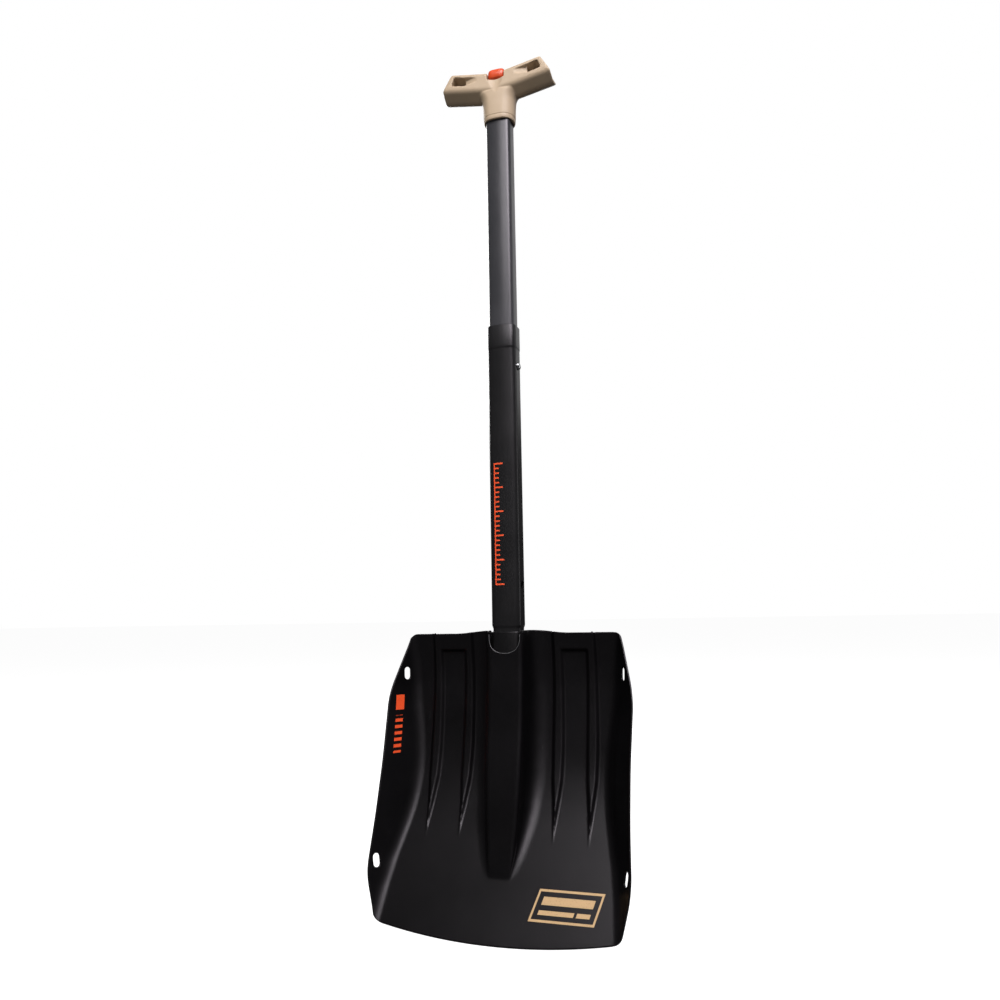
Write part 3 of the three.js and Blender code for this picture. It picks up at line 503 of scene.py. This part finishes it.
def lower_shaft_piece():
    wall = -SHAFT_WALL
    outer = [(offset(NECK_TUBE, -0.4), -3), (offset(NECK_TUBE, -0.1), -2.6), (NECK_TUBE, -2)]
    outer += [(NECK_TUBE, 20), (NECK_TUBE, 50)]
    outer += step_between(NECK_TUBE, LOWER_TUBE, 78.2, 82.2) + [(LOWER_TUBE, z) for z in range(100, 370, 30)]
    outer += step_between(LOWER_TUBE, FLARE_TUBE, 371.6, 374.6)
    outer += [(FLARE_TUBE, 397.3), (offset(FLARE_TUBE, -0.1), 397.7), (offset(FLARE_TUBE, -0.3), 398)]
    inner = [(offset(NECK_TUBE, wall), -3), (offset(NECK_TUBE, wall), 78.2)]
    inner += [(offset(LOWER_TUBE, wall), 82.2), (offset(LOWER_TUBE, wall), 371.6)]
    inner += [(offset(FLARE_TUBE, -FLARE_WALL), 374.6), (offset(FLARE_TUBE, -FLARE_WALL), 398)]
    piece = tube("lower_shaft_tube", outer, inner)
    holes = [pin_hole("x", EXTENSION_PIN_HEIGHT), pin_hole("x", STOWED_PIN_HEIGHT)]
    holes += [pin_hole("y", BLADE_PIN_HEIGHT)]
    combine(piece, holes, "DIFFERENCE")
    shade(piece)
    return piece


def box_cutter(lo, hi):
    corners = [(lo[0], lo[1]), (hi[0], lo[1]), (hi[0], hi[1]), (lo[0], hi[1])]
    rings = [[(x, y, z) for x, y in corners] for z in (lo[2], hi[2])]
    return outward(skin("cut", rings, False))


def upper_shaft_piece():
    outer = [(offset(UPPER_TUBE, -0.25), 335), (UPPER_TUBE, 335.3)]
    outer += [(UPPER_TUBE, z) for z in range(360, 661, 30)]
    outer += [(UPPER_TUBE, 661.7), (offset(UPPER_TUBE, -0.25), 662)]
    inner = [(offset(UPPER_TUBE, -SHAFT_WALL), 335), (offset(UPPER_TUBE, -SHAFT_WALL), 662)]
    piece = tube("upper_shaft_tube", outer, inner)
    latch_window = box_cutter((-5, -15, 646.6), (5, -5, 653.4))
    combine(piece, [pin_hole("x", EXTENSION_PIN_HEIGHT), latch_window], "DIFFERENCE")
    shade(piece)
    return piece


def socket_piece():
    outer = [(offset(SOCKET_TUBE, -0.4), -13), (offset(SOCKET_TUBE, -0.1), -12.7), (SOCKET_TUBE, -12.2)]
    outer += [(SOCKET_TUBE, 30), (SOCKET_TUBE, 74.6)]
    outer += [(offset(SOCKET_TUBE, -0.12), 75.1), (offset(SOCKET_TUBE, -0.5), 75.5)]
    inner = [(offset(SOCKET_TUBE, -SOCKET_WALL), -13), (offset(SOCKET_TUBE, -SOCKET_WALL), 75.5)]
    piece = tube("blade_socket_tube", outer, inner)
    combine(piece, [pin_hole("y", BLADE_PIN_HEIGHT)], "DIFFERENCE")
    shade(piece)
    return piece


def pin_piece(name, axis, seat, shoulder, tip, height):
    profile = [(0.0, seat), (PIN_RADIUS, seat), (PIN_RADIUS, shoulder)]
    for k in range(1, 13):
        angle = k / 12 * math.pi / 2
        profile.append((PIN_RADIUS * math.cos(angle), shoulder + (tip - shoulder) * math.sin(angle)))
    return outward(turned(name, axis, profile, (0, 0, height), 48, 40))


# ---------------------------------------------------------------- grip

GRIP_DEPTH, FACE_DROP, KEEL_DROP = 31.0, 21.0, 29.5
VOXEL = 0.00055
SMOOTHING_ROUNDS = 14
BUTTON_CORNER = 0.55


def arm_top(x):
    return 687.3 + 0.18 * math.hypot(x, 8)


def arm_section():
    half = GRIP_DEPTH / 2
    corners = [((-half, 0), 4.5), ((-half, -FACE_DROP), 4), ((0, -KEEL_DROP - 1.4), 6),
               ((half, -FACE_DROP), 4), ((half, 0), 4.5)]
    points = []
    for i, (at, rounding) in enumerate(corners):
        ends = []
        for to in (corners[i - 1][0], corners[(i + 1) % 5][0]):
            run = math.hypot(to[0] - at[0], to[1] - at[1])
            ends.append(tuple(at[a] + (to[a] - at[a]) * rounding / run for a in (0, 1)))
        points += [bend(ends[0], at, ends[1], k / 8) for k in range(9)]
    return points


def arm_reach(drop):
    return float(np.interp(drop, [-KEEL_DROP, -FACE_DROP, 0], [63.4, 62.4, 51.4]))


def grip_arms():
    shares = [1, 0.996, 0.988, 0.975] + list(np.linspace(0.95, 0, 30))
    shares = [-s for s in shares] + list(reversed(shares[:-1]))
    ease = {1: 0.94, 0.996: 0.965, 0.988: 0.986, 0.975: 1.0}
    rings = []
    for share in shares:
        shrink = ease.get(round(abs(share), 3), 1.0)
        ring = []
        for depth, drop in arm_section():
            x = share * arm_reach(drop)
            lowered = -KEEL_DROP / 2 + (drop + KEEL_DROP / 2) * shrink
            ring.append((x, depth * shrink, arm_top(x) + lowered))
        rings.append(ring)
    return outward(skin("grip_moulding", rings, False))


def grip_collar():
    heights = [0, 0.4, 1, 3.6, 4.1, 4.6, 5, 11, 18, 26, 30.5, 35]
    widths = [33.2, 34.0, 34.4, 34.9, 34.7, 34.9, 35.2, 35.6, 36.0, 37.4, 41.0, 48.0]
    depths = [29.2, 30.0, 30.4, 30.9, 30.5, 30.5, 30.6, 30.7, 30.8, 31.0, 31.0, 30.6]
    dense = sorted(set(heights + list(np.linspace(5, 35, 31))))
    rings = []
    for h in dense:
        soft = [h + d for d in (-1.5, -0.75, 0, 0.75, 1.5)] if h > 8 else [h]
        width = float(np.mean(np.interp(soft, heights, widths)))
        depth = float(np.mean(np.interp(soft, heights, depths)))
        rings.append(section_ring((width, depth, min(width, depth) * 0.36), 633 + h, 16, 16))
    return outward(skin("collar", rings, False))


def rim_band():
    """The shallow groove above the collar's rim."""
    rings = []
    for height, grow in ((637.5, -0.05), (637.9, -0.6), (638.5, -0.6), (638.9, -0.05)):
        rings.append(section_ring((35.4 + 2 * grow, 31.2 + 2 * grow, 11.2 + grow), height, 16, 16))
    for height in (638.9, 637.5):
        rings.append(section_ring((39, 35, 13), height, 16, 16))
    return outward(skin("band", rings, True))


def prism(first, second):
    return outward(skin("cut", [first, second], False))


def window_cutters(side):
    hole = [(36, 679.2), (50.3, 682)]
    hole += [bend((50.3, 682), (52, 682.6), (51, 685), t) for t in np.linspace(0.15, 1, 7)]
    hole += [(49, 690)]
    hole += [bend((49, 690), (48, 692), (46, 691.4), t) for t in np.linspace(0.15, 1, 7)]
    hole += [(36, 688.6)]
    out = [prism([(side * x, -20, z) for x, z in hole], [(side * x, 20, z) for x, z in hole])]
    for facing in (1, -1):
        ramp = [(20.5, 681.6, -0.2), (20.5, 686, -0.2), (37, 688.9, 4.4), (37, 679.4, 4.4)]
        out.append(prism([(side * x, facing * 17.5, z) for x, z, _ in ramp],
                         [(side * x, facing * (15.5 - deep), z) for x, z, deep in ramp]))
    return out


def thumb_dish():
    """A slanted round trough below the button that runs out at the collar."""
    piece = rod("cut", "z", -40, 40, 14, (0, 0, 0), 96)
    turn = Matrix.Rotation(math.radians(-9), 4, "X")
    shift = Vector(SHIFT / 1000)
    for vertex in piece.data.vertices:
        local = turn @ (vertex.co - shift)
        vertex.co = local + shift + Vector((0, -0.0266, 0.683))
    return outward(piece)


def grip_piece():
    piece = grip_arms()
    combine(piece, [grip_collar()], "UNION")
    bore = outward(skin("cut", [section_ring((28.2, 24.2, 4.1), z) for z in (625, 662.3)], False))
    button_pocket = box_cutter((-9.9, -20, 680.8), (9.9, 7.5, 700))
    latch_pocket = box_cutter((-5.3, -11.2, 655), (5.3, -0.6, 684))
    holder_pocket = box_cutter((-7.3, -3.3, 655), (7.3, 8.3, 676.3))
    spring_seat = outward(rod("cut", "y", 6, 10.9, 3.5, (0, 0, 684)))
    screw_shank = outward(rod("cut", "y", 0, 20, 2.3, (0, 0, 670)))
    screw_head = outward(rod("cut", "y", 12.2, 20, 4.1, (0, 0, 670)))
    cutters = [bore, thumb_dish(), button_pocket, latch_pocket, holder_pocket]
    cutters += [spring_seat, screw_shank, screw_head]
    combine(piece, cutters + window_cutters(1) + window_cutters(-1), "DIFFERENCE")
    remesh = piece.modifiers.new("r", "REMESH")
    remesh.mode = "VOXEL"
    remesh.voxel_size = VOXEL
    relax = piece.modifiers.new("s", "SMOOTH")
    relax.factor = 0.5
    relax.iterations = SMOOTHING_ROUNDS
    bake_modifiers(piece)
    combine(piece, [rim_band()], "DIFFERENCE")
    shade(piece, 60)
    return piece


def button_piece():
    heights = np.array([681.4, 682.8, 685.8, 689.4, 692.6, 695.0, 696.0])
    fronts = np.array([-11.8, -13.9, -14.8, -14.8, -13.0, -9.4, -6.6])
    backs = np.array([2.6, 2.8, 2.8, 2.8, 2.2, -0.6, -3.4])
    halves = np.array([8.8, 9.4, 9.6, 9.6, 9.2, 7.6, 4.2])
    t = np.linspace(0, 6, 49)
    kernel = np.array([1, 2, 3, 4, 3, 2, 1]) / 16

    def soft(values):
        fine = np.interp(t, np.arange(7), values)
        padded = np.concatenate([2 * fine[0] - fine[3:0:-1], fine, 2 * fine[-1] - fine[-2:-5:-1]])
        return np.convolve(padded, kernel, "valid")

    rings = []
    rows = zip(soft(heights), soft(fronts), soft(backs), soft(halves))
    for height, front, back, half in rows:
        middle, reach = (front + back) / 2, (back - front) / 2
        ring = []
        for k in range(72):
            angle = k / 72 * 2 * math.pi
            c, s = math.cos(angle), math.sin(angle)
            x = half * math.copysign(abs(c) ** BUTTON_CORNER, c)
            ring.append((x, middle + reach * math.copysign(abs(s) ** BUTTON_CORNER, s), height))
        rings.append(ring)
    last = np.array(rings[-1])
    centre = last.mean(0)
    for share, lift in ((0.8, 0.1), (0.5, 0.18), (0.2, 0.22)):
        ring = centre + (last - centre) * share
        ring[:, 2] += lift
        rings.append([tuple(p) for p in ring])
    return outward(skin("release_button_cap", rings, False, 50))


# ---------------------------------------------------------------- materials

class Shader:
    """A small helper that wires up one node material."""

    def __init__(self, name):
        self.material = bpy.data.materials.new(name)
        self.material.use_nodes = True
        self.tree = self.material.node_tree
        self.tree.nodes.clear()
        self.out = self.tree.nodes.new("ShaderNodeOutputMaterial")
        self.bsdf = self.tree.nodes.new("ShaderNodeBsdfPrincipled")
        self.tree.links.new(self.bsdf.outputs[0], self.out.inputs[0])
        self.place = self.tree.nodes.new("ShaderNodeTexCoord").outputs["Object"]

    def put(self, target, value):
        if isinstance(value, bpy.types.NodeSocket):
            self.tree.links.new(value, target)
        elif value is not None:
            target.default_value = value

    def math(self, operation, a, b=None, clamp=False):
        node = self.tree.nodes.new("ShaderNodeMath")
        node.operation = operation
        node.use_clamp = clamp
        self.put(node.inputs[0], a)
        self.put(node.inputs[1], b)
        return node.outputs[0]

    def mix(self, share, a, b):
        node = self.tree.nodes.new("ShaderNodeMix")
        node.data_type = "RGBA"
        self.put(node.inputs["Factor"], share)
        for socket, value in ((node.inputs[6], a), (node.inputs[7], b)):
            self.put(socket, value if isinstance(value, bpy.types.NodeSocket) else (*value, 1))
        return node.outputs[2]

    def stretched(self, scale):
        node = self.tree.nodes.new("ShaderNodeMapping")
        node.inputs["Scale"].default_value = scale
        self.put(node.inputs["Vector"], self.place)
        return node.outputs[0]

    def noise(self, scale, detail=3.0, rough=0.5, vector=None):
        node = self.tree.nodes.new("ShaderNodeTexNoise")
        self.put(node.inputs["Vector"], vector or self.place)
        node.inputs["Scale"].default_value = scale
        node.inputs["Detail"].default_value = detail
        node.inputs["Roughness"].default_value = rough
        return node.outputs[0]

    def spread(self, value, a, b, c, d):
        node = self.tree.nodes.new("ShaderNodeMapRange")
        self.put(node.inputs["Value"], value)
        for key, number in zip(("From Min", "From Max", "To Min", "To Max"), (a, b, c, d)):
            node.inputs[key].default_value = number
        return node.outputs[0]

    def bump(self, height, strength, distance, normal=None):
        node = self.tree.nodes.new("ShaderNodeBump")
        node.inputs["Strength"].default_value = strength
        node.inputs["Distance"].default_value = distance
        self.put(node.inputs["Height"], height)
        self.put(node.inputs["Normal"], normal)
        return node.outputs[0]

    def axes(self, vector=None):
        node = self.tree.nodes.new("ShaderNodeSeparateXYZ")
        self.put(node.inputs[0], vector or self.place)
        return node.outputs

    def facing_front(self):
        geometry = self.tree.nodes.new("ShaderNodeNewGeometry")
        return self.math("LESS_THAN", self.axes(geometry.outputs["True Normal"])[1], -0.05)

    def within(self, value, centre, half):
        """1 where value is within half of centre, with a crisp printed edge."""
        gap = self.math("ABSOLUTE", self.math("SUBTRACT", value, centre))
        return self.math("LESS_THAN", gap, half)

    def both(self, *values):
        out = values[0]
        for value in values[1:]:
            out = self.math("MULTIPLY", out, value)
        return out

    def either(self, *values):
        out = values[0]
        for value in values[1:]:
            out = self.math("MAXIMUM", out, value)
        return out


def anodised(name, dark, light, roughness, specular, marks=None, brushed=True, wear=0.06):
    """Satin anodised aluminium: faint mottling, fine grain, hairlines, and handling marks."""
    s = Shader(name)
    cloud = s.noise(14, 4, 0.55)
    colour = s.mix(s.spread(cloud, 0.3, 0.7, 0, 1), dark, light)
    fine = s.noise(1400, 2, 0.6)
    lines = s.noise(1, 3, 0.6, s.stretched((900, 900, 22)) if brushed else s.stretched((60, 60, 900)))
    scuffs = s.spread(s.noise(1, 6, 0.7, s.stretched((340, 340, 60))), 0.66, 0.74, 0, wear)
    colour = s.mix(scuffs, colour, (0.22, 0.22, 0.23))
    rough = s.spread(s.math("ADD", s.math("MULTIPLY", cloud, 0.6), s.math("MULTIPLY", lines, 0.4)), 0.3, 0.7,
                     roughness - 0.05, roughness + 0.06)
    grain = s.bump(fine, 0.1, 0.00006)
    s.put(s.bsdf.inputs["Normal"], s.bump(lines, 0.05, 0.00008, grain))
    if marks:
        mask, ink = marks(s)
        colour = s.mix(mask, colour, ink)
        rough = s.math("ADD", rough, s.math("MULTIPLY", mask, 0.08))
    s.put(s.bsdf.inputs["Base Color"], colour)
    s.put(s.bsdf.inputs["Roughness"], rough)
    s.bsdf.inputs["Specular IOR Level"].default_value = specular
    s.bsdf.inputs["Specular Tint"].default_value = (1.0, 0.95, 1.0, 1)
    return s.material


def at(mm, axis):
    return (mm + SHIFT[axis]) / 1000


ORANGE_INK = (0.72, 0.075, 0.018)
TAN_INK = (0.47, 0.31, 0.15)


def blade_marks(s):
    """A plain framed pair of tan bars low on the right, and an orange tick row on the left flange."""
    x, _, z = s.axes()
    cx, cz = at(67, 0), at(-170.5, 2)
    lean = s.math("SUBTRACT", s.math("SUBTRACT", x, cx), s.math("MULTIPLY", s.math("SUBTRACT", z, cz), 0.35))
    outer = s.both(s.within(lean, 0, 0.0305), s.within(z, cz, 0.0122))
    inner = s.both(s.within(lean, 0, 0.0286), s.within(z, cz, 0.0104))
    framed = s.both(outer, s.math("SUBTRACT", 1.0, inner))
    long_bar = s.both(s.within(lean, 0, 0.0240), s.within(z, cz + 0.0036, 0.0031))
    short_bar = s.both(s.within(lean, -0.0075, 0.0165), s.within(z, cz - 0.0052, 0.0017))
    dot = s.both(s.within(lean, 0.0178, 0.0062), s.within(z, cz - 0.0052, 0.0017))
    tan = s.either(framed, long_bar, short_bar, dot)
    down = s.math("SUBTRACT", at(12, 2), z)
    edge = s.math("ADD", x, s.math("MULTIPLY", down, -0.045))
    column = s.within(edge, at(-119.2, 0), 0.0024)
    tick = s.math("LESS_THAN", s.math("FRACT", s.math("MULTIPLY", down, 1 / 0.0062)), 0.5)
    orange = s.both(column, tick, s.within(down, 0.0397, 0.0183))
    plate = s.both(s.within(edge, at(-119.2, 0), 0.0027), s.within(down, 0.0085, 0.0075))
    orange = s.either(orange, plate)
    front = s.facing_front()
    colour = s.mix(tan, ORANGE_INK, TAN_INK)
    return s.both(s.either(tan, orange), front, s.spread(s.noise(900, 2), 0.3, 0.42, 0.75, 0.96)), colour


def shaft_marks(s):
    """An orange measuring scale without figures up the front of the lower shaft."""
    x, _, z = s.axes()
    up = s.math("SUBTRACT", z, at(122.5, 2))
    rule = s.within(x, at(-8.7, 0), 0.0006)
    tick = s.math("LESS_THAN", s.math("FRACT", s.math("MULTIPLY", up, 1 / 0.005)), 0.32)
    short = s.both(tick, s.within(x, at(-6.3, 0), 0.0027))
    major = s.math("LESS_THAN", s.math("FRACT", s.math("MULTIPLY", up, 1 / 0.025)), 0.064)
    long = s.both(major, s.within(x, at(-4.2, 0), 0.0048))
    reach = s.within(up, 0.0633, 0.0633)
    mask = s.both(s.either(rule, short, long), reach, s.facing_front())
    return s.both(mask, s.spread(s.noise(900, 2), 0.3, 0.42, 0.8, 0.97)), ORANGE_INK


def bare_metal(name, colour, roughness, brushed=(1200, 60, 60), metallic=1.0, tint=0.75):
    s = Shader(name)
    lines = s.noise(1, 4, 0.6, s.stretched(brushed))
    cloud = s.noise(60, 3)
    darker = tuple(c * tint for c in colour)
    s.put(s.bsdf.inputs["Base Color"], s.mix(s.spread(cloud, 0.3, 0.7, 0, 1), darker, colour))
    s.put(s.bsdf.inputs["Roughness"], s.spread(lines, 0.3, 0.7, roughness - 0.04, roughness + 0.08))
    s.put(s.bsdf.inputs["Normal"], s.bump(lines, 0.08, 0.00005))
    s.bsdf.inputs["Metallic"].default_value = metallic
    return s.material


def moulded(name, dark, light, roughness, grain=0.16, specular=0.4, scale=1500):
    """Moulded plastic: spark-eroded grain, slight flow mottling, scattered dark specks."""
    s = Shader(name)
    cloud = s.noise(26, 4, 0.6)
    colour = s.mix(s.spread(cloud, 0.3, 0.7, 0, 1), dark, light)
    specks = s.spread(s.noise(700, 2, 0.7), 0.62, 0.78, 0, 0.22)
    colour = s.mix(specks, colour, tuple(c * 0.72 for c in dark))
    fine = s.noise(scale, 3, 0.6)
    s.put(s.bsdf.inputs["Base Color"], colour)
    rough = s.spread(s.noise(180, 4, 0.6), 0.3, 0.7, roughness - 0.06, roughness + 0.07)
    s.put(s.bsdf.inputs["Roughness"], rough)
    s.put(s.bsdf.inputs["Normal"], s.bump(fine, grain, 0.00012, s.bump(cloud, 0.05, 0.0006)))
    s.bsdf.inputs["Specular IOR Level"].default_value = specular
    return s.material


BLADE_BLACK = anodised("blade_black", (0.0011, 0.0010, 0.0012), (0.0021, 0.0019, 0.0023), 0.34, 0.42,
                       blade_marks)
SOCKET_BLACK = anodised("socket_black", (0.002, 0.002, 0.0021), (0.0034, 0.0034, 0.0036), 0.34, 0.42)
SHAFT_BLACK = anodised("shaft_black", (0.0060, 0.0060, 0.0063), (0.0088, 0.0088, 0.0093), 0.33, 0.5,
                       shaft_marks)
SHAFT_GREY = anodised("shaft_grey", (0.023, 0.0235, 0.026), (0.031, 0.0315, 0.035), 0.31, 0.6, wear=0.1)
CUT_EDGE = anodised("cut_edge", (0.05, 0.05, 0.052), (0.08, 0.08, 0.083), 0.34, 0.6, wear=0.5)
WELD_METAL = bare_metal("weld_metal", (0.16, 0.16, 0.165), 0.38, (60, 60, 1400))
CHROME = bare_metal("chrome", (0.80, 0.81, 0.83), 0.10, (60, 60, 60), tint=0.93)
SPRING_STEEL = bare_metal("spring_steel", (0.36, 0.36, 0.37), 0.30)
SCREW_STEEL = bare_metal("screw_steel", (0.30, 0.30, 0.31), 0.28)
SAW_STEEL = bare_metal("saw_steel", (0.52, 0.53, 0.55), 0.24, (40, 1500, 40))
RIVET_METAL = bare_metal("rivet_metal", (0.6, 0.6, 0.61), 0.34)
TAN = moulded("tan_moulding", (0.345, 0.262, 0.178), (0.39, 0.30, 0.21), 0.47)
ORANGE = moulded("orange_moulding", (0.46, 0.048, 0.012), (0.54, 0.066, 0.017), 0.34, 0.07, 0.5)
BLACK_PLASTIC = moulded("black_moulding", (0.012, 0.012, 0.012), (0.018, 0.018, 0.018), 0.5)


def dress(piece, material):
    piece.data.materials.clear()
    piece.data.materials.append(material)
    return piece


def stand_for(piece, node, body, material):
    dress(piece, material)
    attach(piece, body)
    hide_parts(node)


stand_for(blade_piece(), "blade", "blade", BLADE_BLACK)
stand_for(socket_piece(), "blade_socket", "blade", SOCKET_BLACK)
stand_for(weld_piece("weld_bead_left", -1), "socket_weld_left", "blade", WELD_METAL)
stand_for(weld_piece("weld_bead_right", 1), "socket_weld_right", "blade", WELD_METAL)
stand_for(lower_shaft_piece(), "lower_shaft", "lower_shaft", SHAFT_BLACK)
stand_for(upper_shaft_piece(), "upper_shaft", "upper_shaft", SHAFT_GREY)
stand_for(pin_piece("extension_pin_dome", "x", 12.4, 16.2, 18.3, EXTENSION_PIN_HEIGHT),
          "extension_pin", "extension_pin", CHROME)
stand_for(pin_piece("blade_pin_dome", "y", 9.9, 14.9, 17.2, BLADE_PIN_HEIGHT),
          "blade_pin", "blade_pin", CHROME)
stand_for(grip_piece(), "grip_body", "grip", TAN)
stand_for(button_piece(), "release_button", "release_button", ORANGE)

edge = dress(notch_edge(), CUT_EDGE)
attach(edge, "blade")
for side_name, side in (("right", 1), ("left", -1)):
    for place_name, (x, z) in zip(("upper", "lower"), SLOTS):
        rim = dress(slot_edge(f"slot_edge_{side_name}_{place_name}", x, z, side), BLADE_BLACK)
        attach(rim, "blade")

KEPT = {
    "shaft_guide": (BLACK_PLASTIC, 0.25), "shaft_end_plug": (BLACK_PLASTIC, 0.3),
    "shaft_glide": (BLACK_PLASTIC, 0.25),
    "blade_pin_spring": (SPRING_STEEL, 0.12), "extension_pin_spring": (SPRING_STEEL, 0.12),
    "latch_tongue": (SPRING_STEEL, 0.12), "button_spring": (SPRING_STEEL, 0),
    "saw_holder": (BLACK_PLASTIC, 0.3), "saw_blade": (SAW_STEEL, 0.12),
    "saw_rivet_upper": (RIVET_METAL, 0.25), "saw_rivet_lower": (RIVET_METAL, 0.25),
    "holder_screw": (SCREW_STEEL, 0.15),
}
for node, (material, bevel) in KEPT.items():
    kept = NODES[node]
    for slot in kept.material_slots:
        slot.link = "OBJECT"
        slot.material = material
    if bevel:
        rounding = kept.modifiers.new("edges", "BEVEL")
        rounding.width = bevel / 1000
        rounding.segments = 2
        rounding.limit_method = "ANGLE"
        rounding.angle_limit = math.radians(40)


# ---------------------------------------------------------------- studio

def stage_floor():
    mesh = bpy.data.meshes.new("floor")
    reach = 60
    corners = [(-reach, -reach, 0), (reach, -reach, 0), (reach, reach, 0), (-reach, reach, 0)]
    mesh.from_pydata(corners, [], [(0, 1, 2, 3)])
    floor = bpy.data.objects.new("floor", mesh)
    bpy.context.scene.collection.objects.link(floor)
    floor.location.z = -0.0002
    material = bpy.data.materials.new("floor_pale")
    material.use_nodes = True
    tree = material.node_tree
    tree.nodes.clear()
    out = tree.nodes.new("ShaderNodeOutputMaterial")
    seen = tree.nodes.new("ShaderNodeLightPath").outputs["Is Camera Ray"]
    bounce = tree.nodes.new("ShaderNodeBsdfDiffuse")
    bounce.inputs[0].default_value = (0.05, 0.05, 0.05, 1)
    pale = tree.nodes.new("ShaderNodeBsdfDiffuse")
    pale.inputs[0].default_value = (0.42, 0.42, 0.42, 1)
    glow = tree.nodes.new("ShaderNodeEmission")
    glow.inputs[1].default_value = 0.93
    both = tree.nodes.new("ShaderNodeAddShader")
    mix = tree.nodes.new("ShaderNodeMixShader")
    tree.links.new(pale.outputs[0], both.inputs[0])
    tree.links.new(glow.outputs[0], both.inputs[1])
    tree.links.new(seen, mix.inputs[0])
    tree.links.new(bounce.outputs[0], mix.inputs[1])
    tree.links.new(both.outputs[0], mix.inputs[2])
    tree.links.new(mix.outputs[0], out.inputs[0])
    floor.data.materials.append(material)


def studio_world():
    world = bpy.data.worlds.new("studio")
    bpy.context.scene.world = world
    world.use_nodes = True
    tree = world.node_tree
    tree.nodes.clear()
    out = tree.nodes.new("ShaderNodeOutputWorld")
    seen = tree.nodes.new("ShaderNodeLightPath").outputs["Is Camera Ray"]
    white = tree.nodes.new("ShaderNodeBackground")
    white.inputs[0].default_value = (1, 1, 1, 1)
    white.inputs[1].default_value = 1.0
    direction = tree.nodes.new("ShaderNodeTexCoord").outputs["Generated"]
    split = tree.nodes.new("ShaderNodeSeparateXYZ")
    tree.links.new(direction, split.inputs[0])
    ramp = tree.nodes.new("ShaderNodeMapRange")
    for key, number in zip(("From Min", "From Max", "To Min", "To Max"), (-0.1, 1.0, 0.022, 0.14)):
        ramp.inputs[key].default_value = number
    tree.links.new(split.outputs[2], ramp.inputs["Value"])
    room = tree.nodes.new("ShaderNodeBackground")
    room.inputs[0].default_value = (1, 1, 1, 1)
    tree.links.new(ramp.outputs[0], room.inputs[1])
    mix = tree.nodes.new("ShaderNodeMixShader")
    tree.links.new(seen, mix.inputs[0])
    tree.links.new(room.outputs[0], mix.inputs[1])
    tree.links.new(white.outputs[0], mix.inputs[2])
    tree.links.new(mix.outputs[0], out.inputs[0])


def softbox(name, place, target, width, height, power, colour=(1, 1, 1), glossy=True):
    light = bpy.data.lights.new(name, "AREA")
    light.shape = "RECTANGLE"
    light.size = width
    light.size_y = height
    light.energy = power
    light.color = colour
    lamp = bpy.data.objects.new(name, light)
    bpy.context.scene.collection.objects.link(lamp)
    lamp.location = place
    lamp.rotation_euler = (Vector(target) - Vector(place)).to_track_quat("-Z", "Y").to_euler()
    lamp.visible_camera = False
    lamp.visible_glossy = glossy


def camera():
    data = bpy.data.cameras.new("camera")
    data.lens = 30.6
    data.sensor_width = 36
    data.sensor_fit = "HORIZONTAL"
    data.clip_end = 200
    eye = bpy.data.objects.new("camera", data)
    bpy.context.scene.collection.objects.link(eye)
    right = (0.950438, 0.310480, -0.016459)
    up = (0.057752, -0.124277, 0.990565)
    back = (0.305505, -0.942421, -0.136049)
    place = (0.2655, -0.8132, 0.2947)
    eye.matrix_world = Matrix([[right[i], up[i], back[i], place[i]] for i in range(3)] + [[0, 0, 0, 1]])
    bpy.context.scene.camera = eye


stage_floor()
studio_world()
softbox("key_right", (1.0, -1.19, 2.05), (0, 0, 0.5), 1.5, 1.35, 62, (1.0, 0.965, 1.0))
softbox("front_soft", (-0.2, -1.75, 2.35), (0, 0, 0.7), 1.2, 1.0, 33, (1.0, 0.985, 0.96), glossy=False)
softbox("under_soft", (-0.4, -1.8, 0.3), (0, 0, 0.87), 0.9, 0.5, 7.5, (1.0, 0.985, 0.96), glossy=False)
softbox("front_strip", (0.12, -1.75, 1.75), (0, 0, 0.7), 0.6, 0.6, 7)
softbox("rim_right", (1.5, 0.9, 0.8), (0, 0, 0.5), 0.5, 1.8, 3.0)
softbox("back_fill", (0.4, 2.4, 1.7), (0, 0, 0.4), 1.6, 1.2, 4.5)
softbox("back_left", (-1.5, 1.7, 1.6), (0, 0, 0.4), 1.4, 1.2, 42)
bpy.context.scene.view_settings.view_transform = "Standard"
camera()
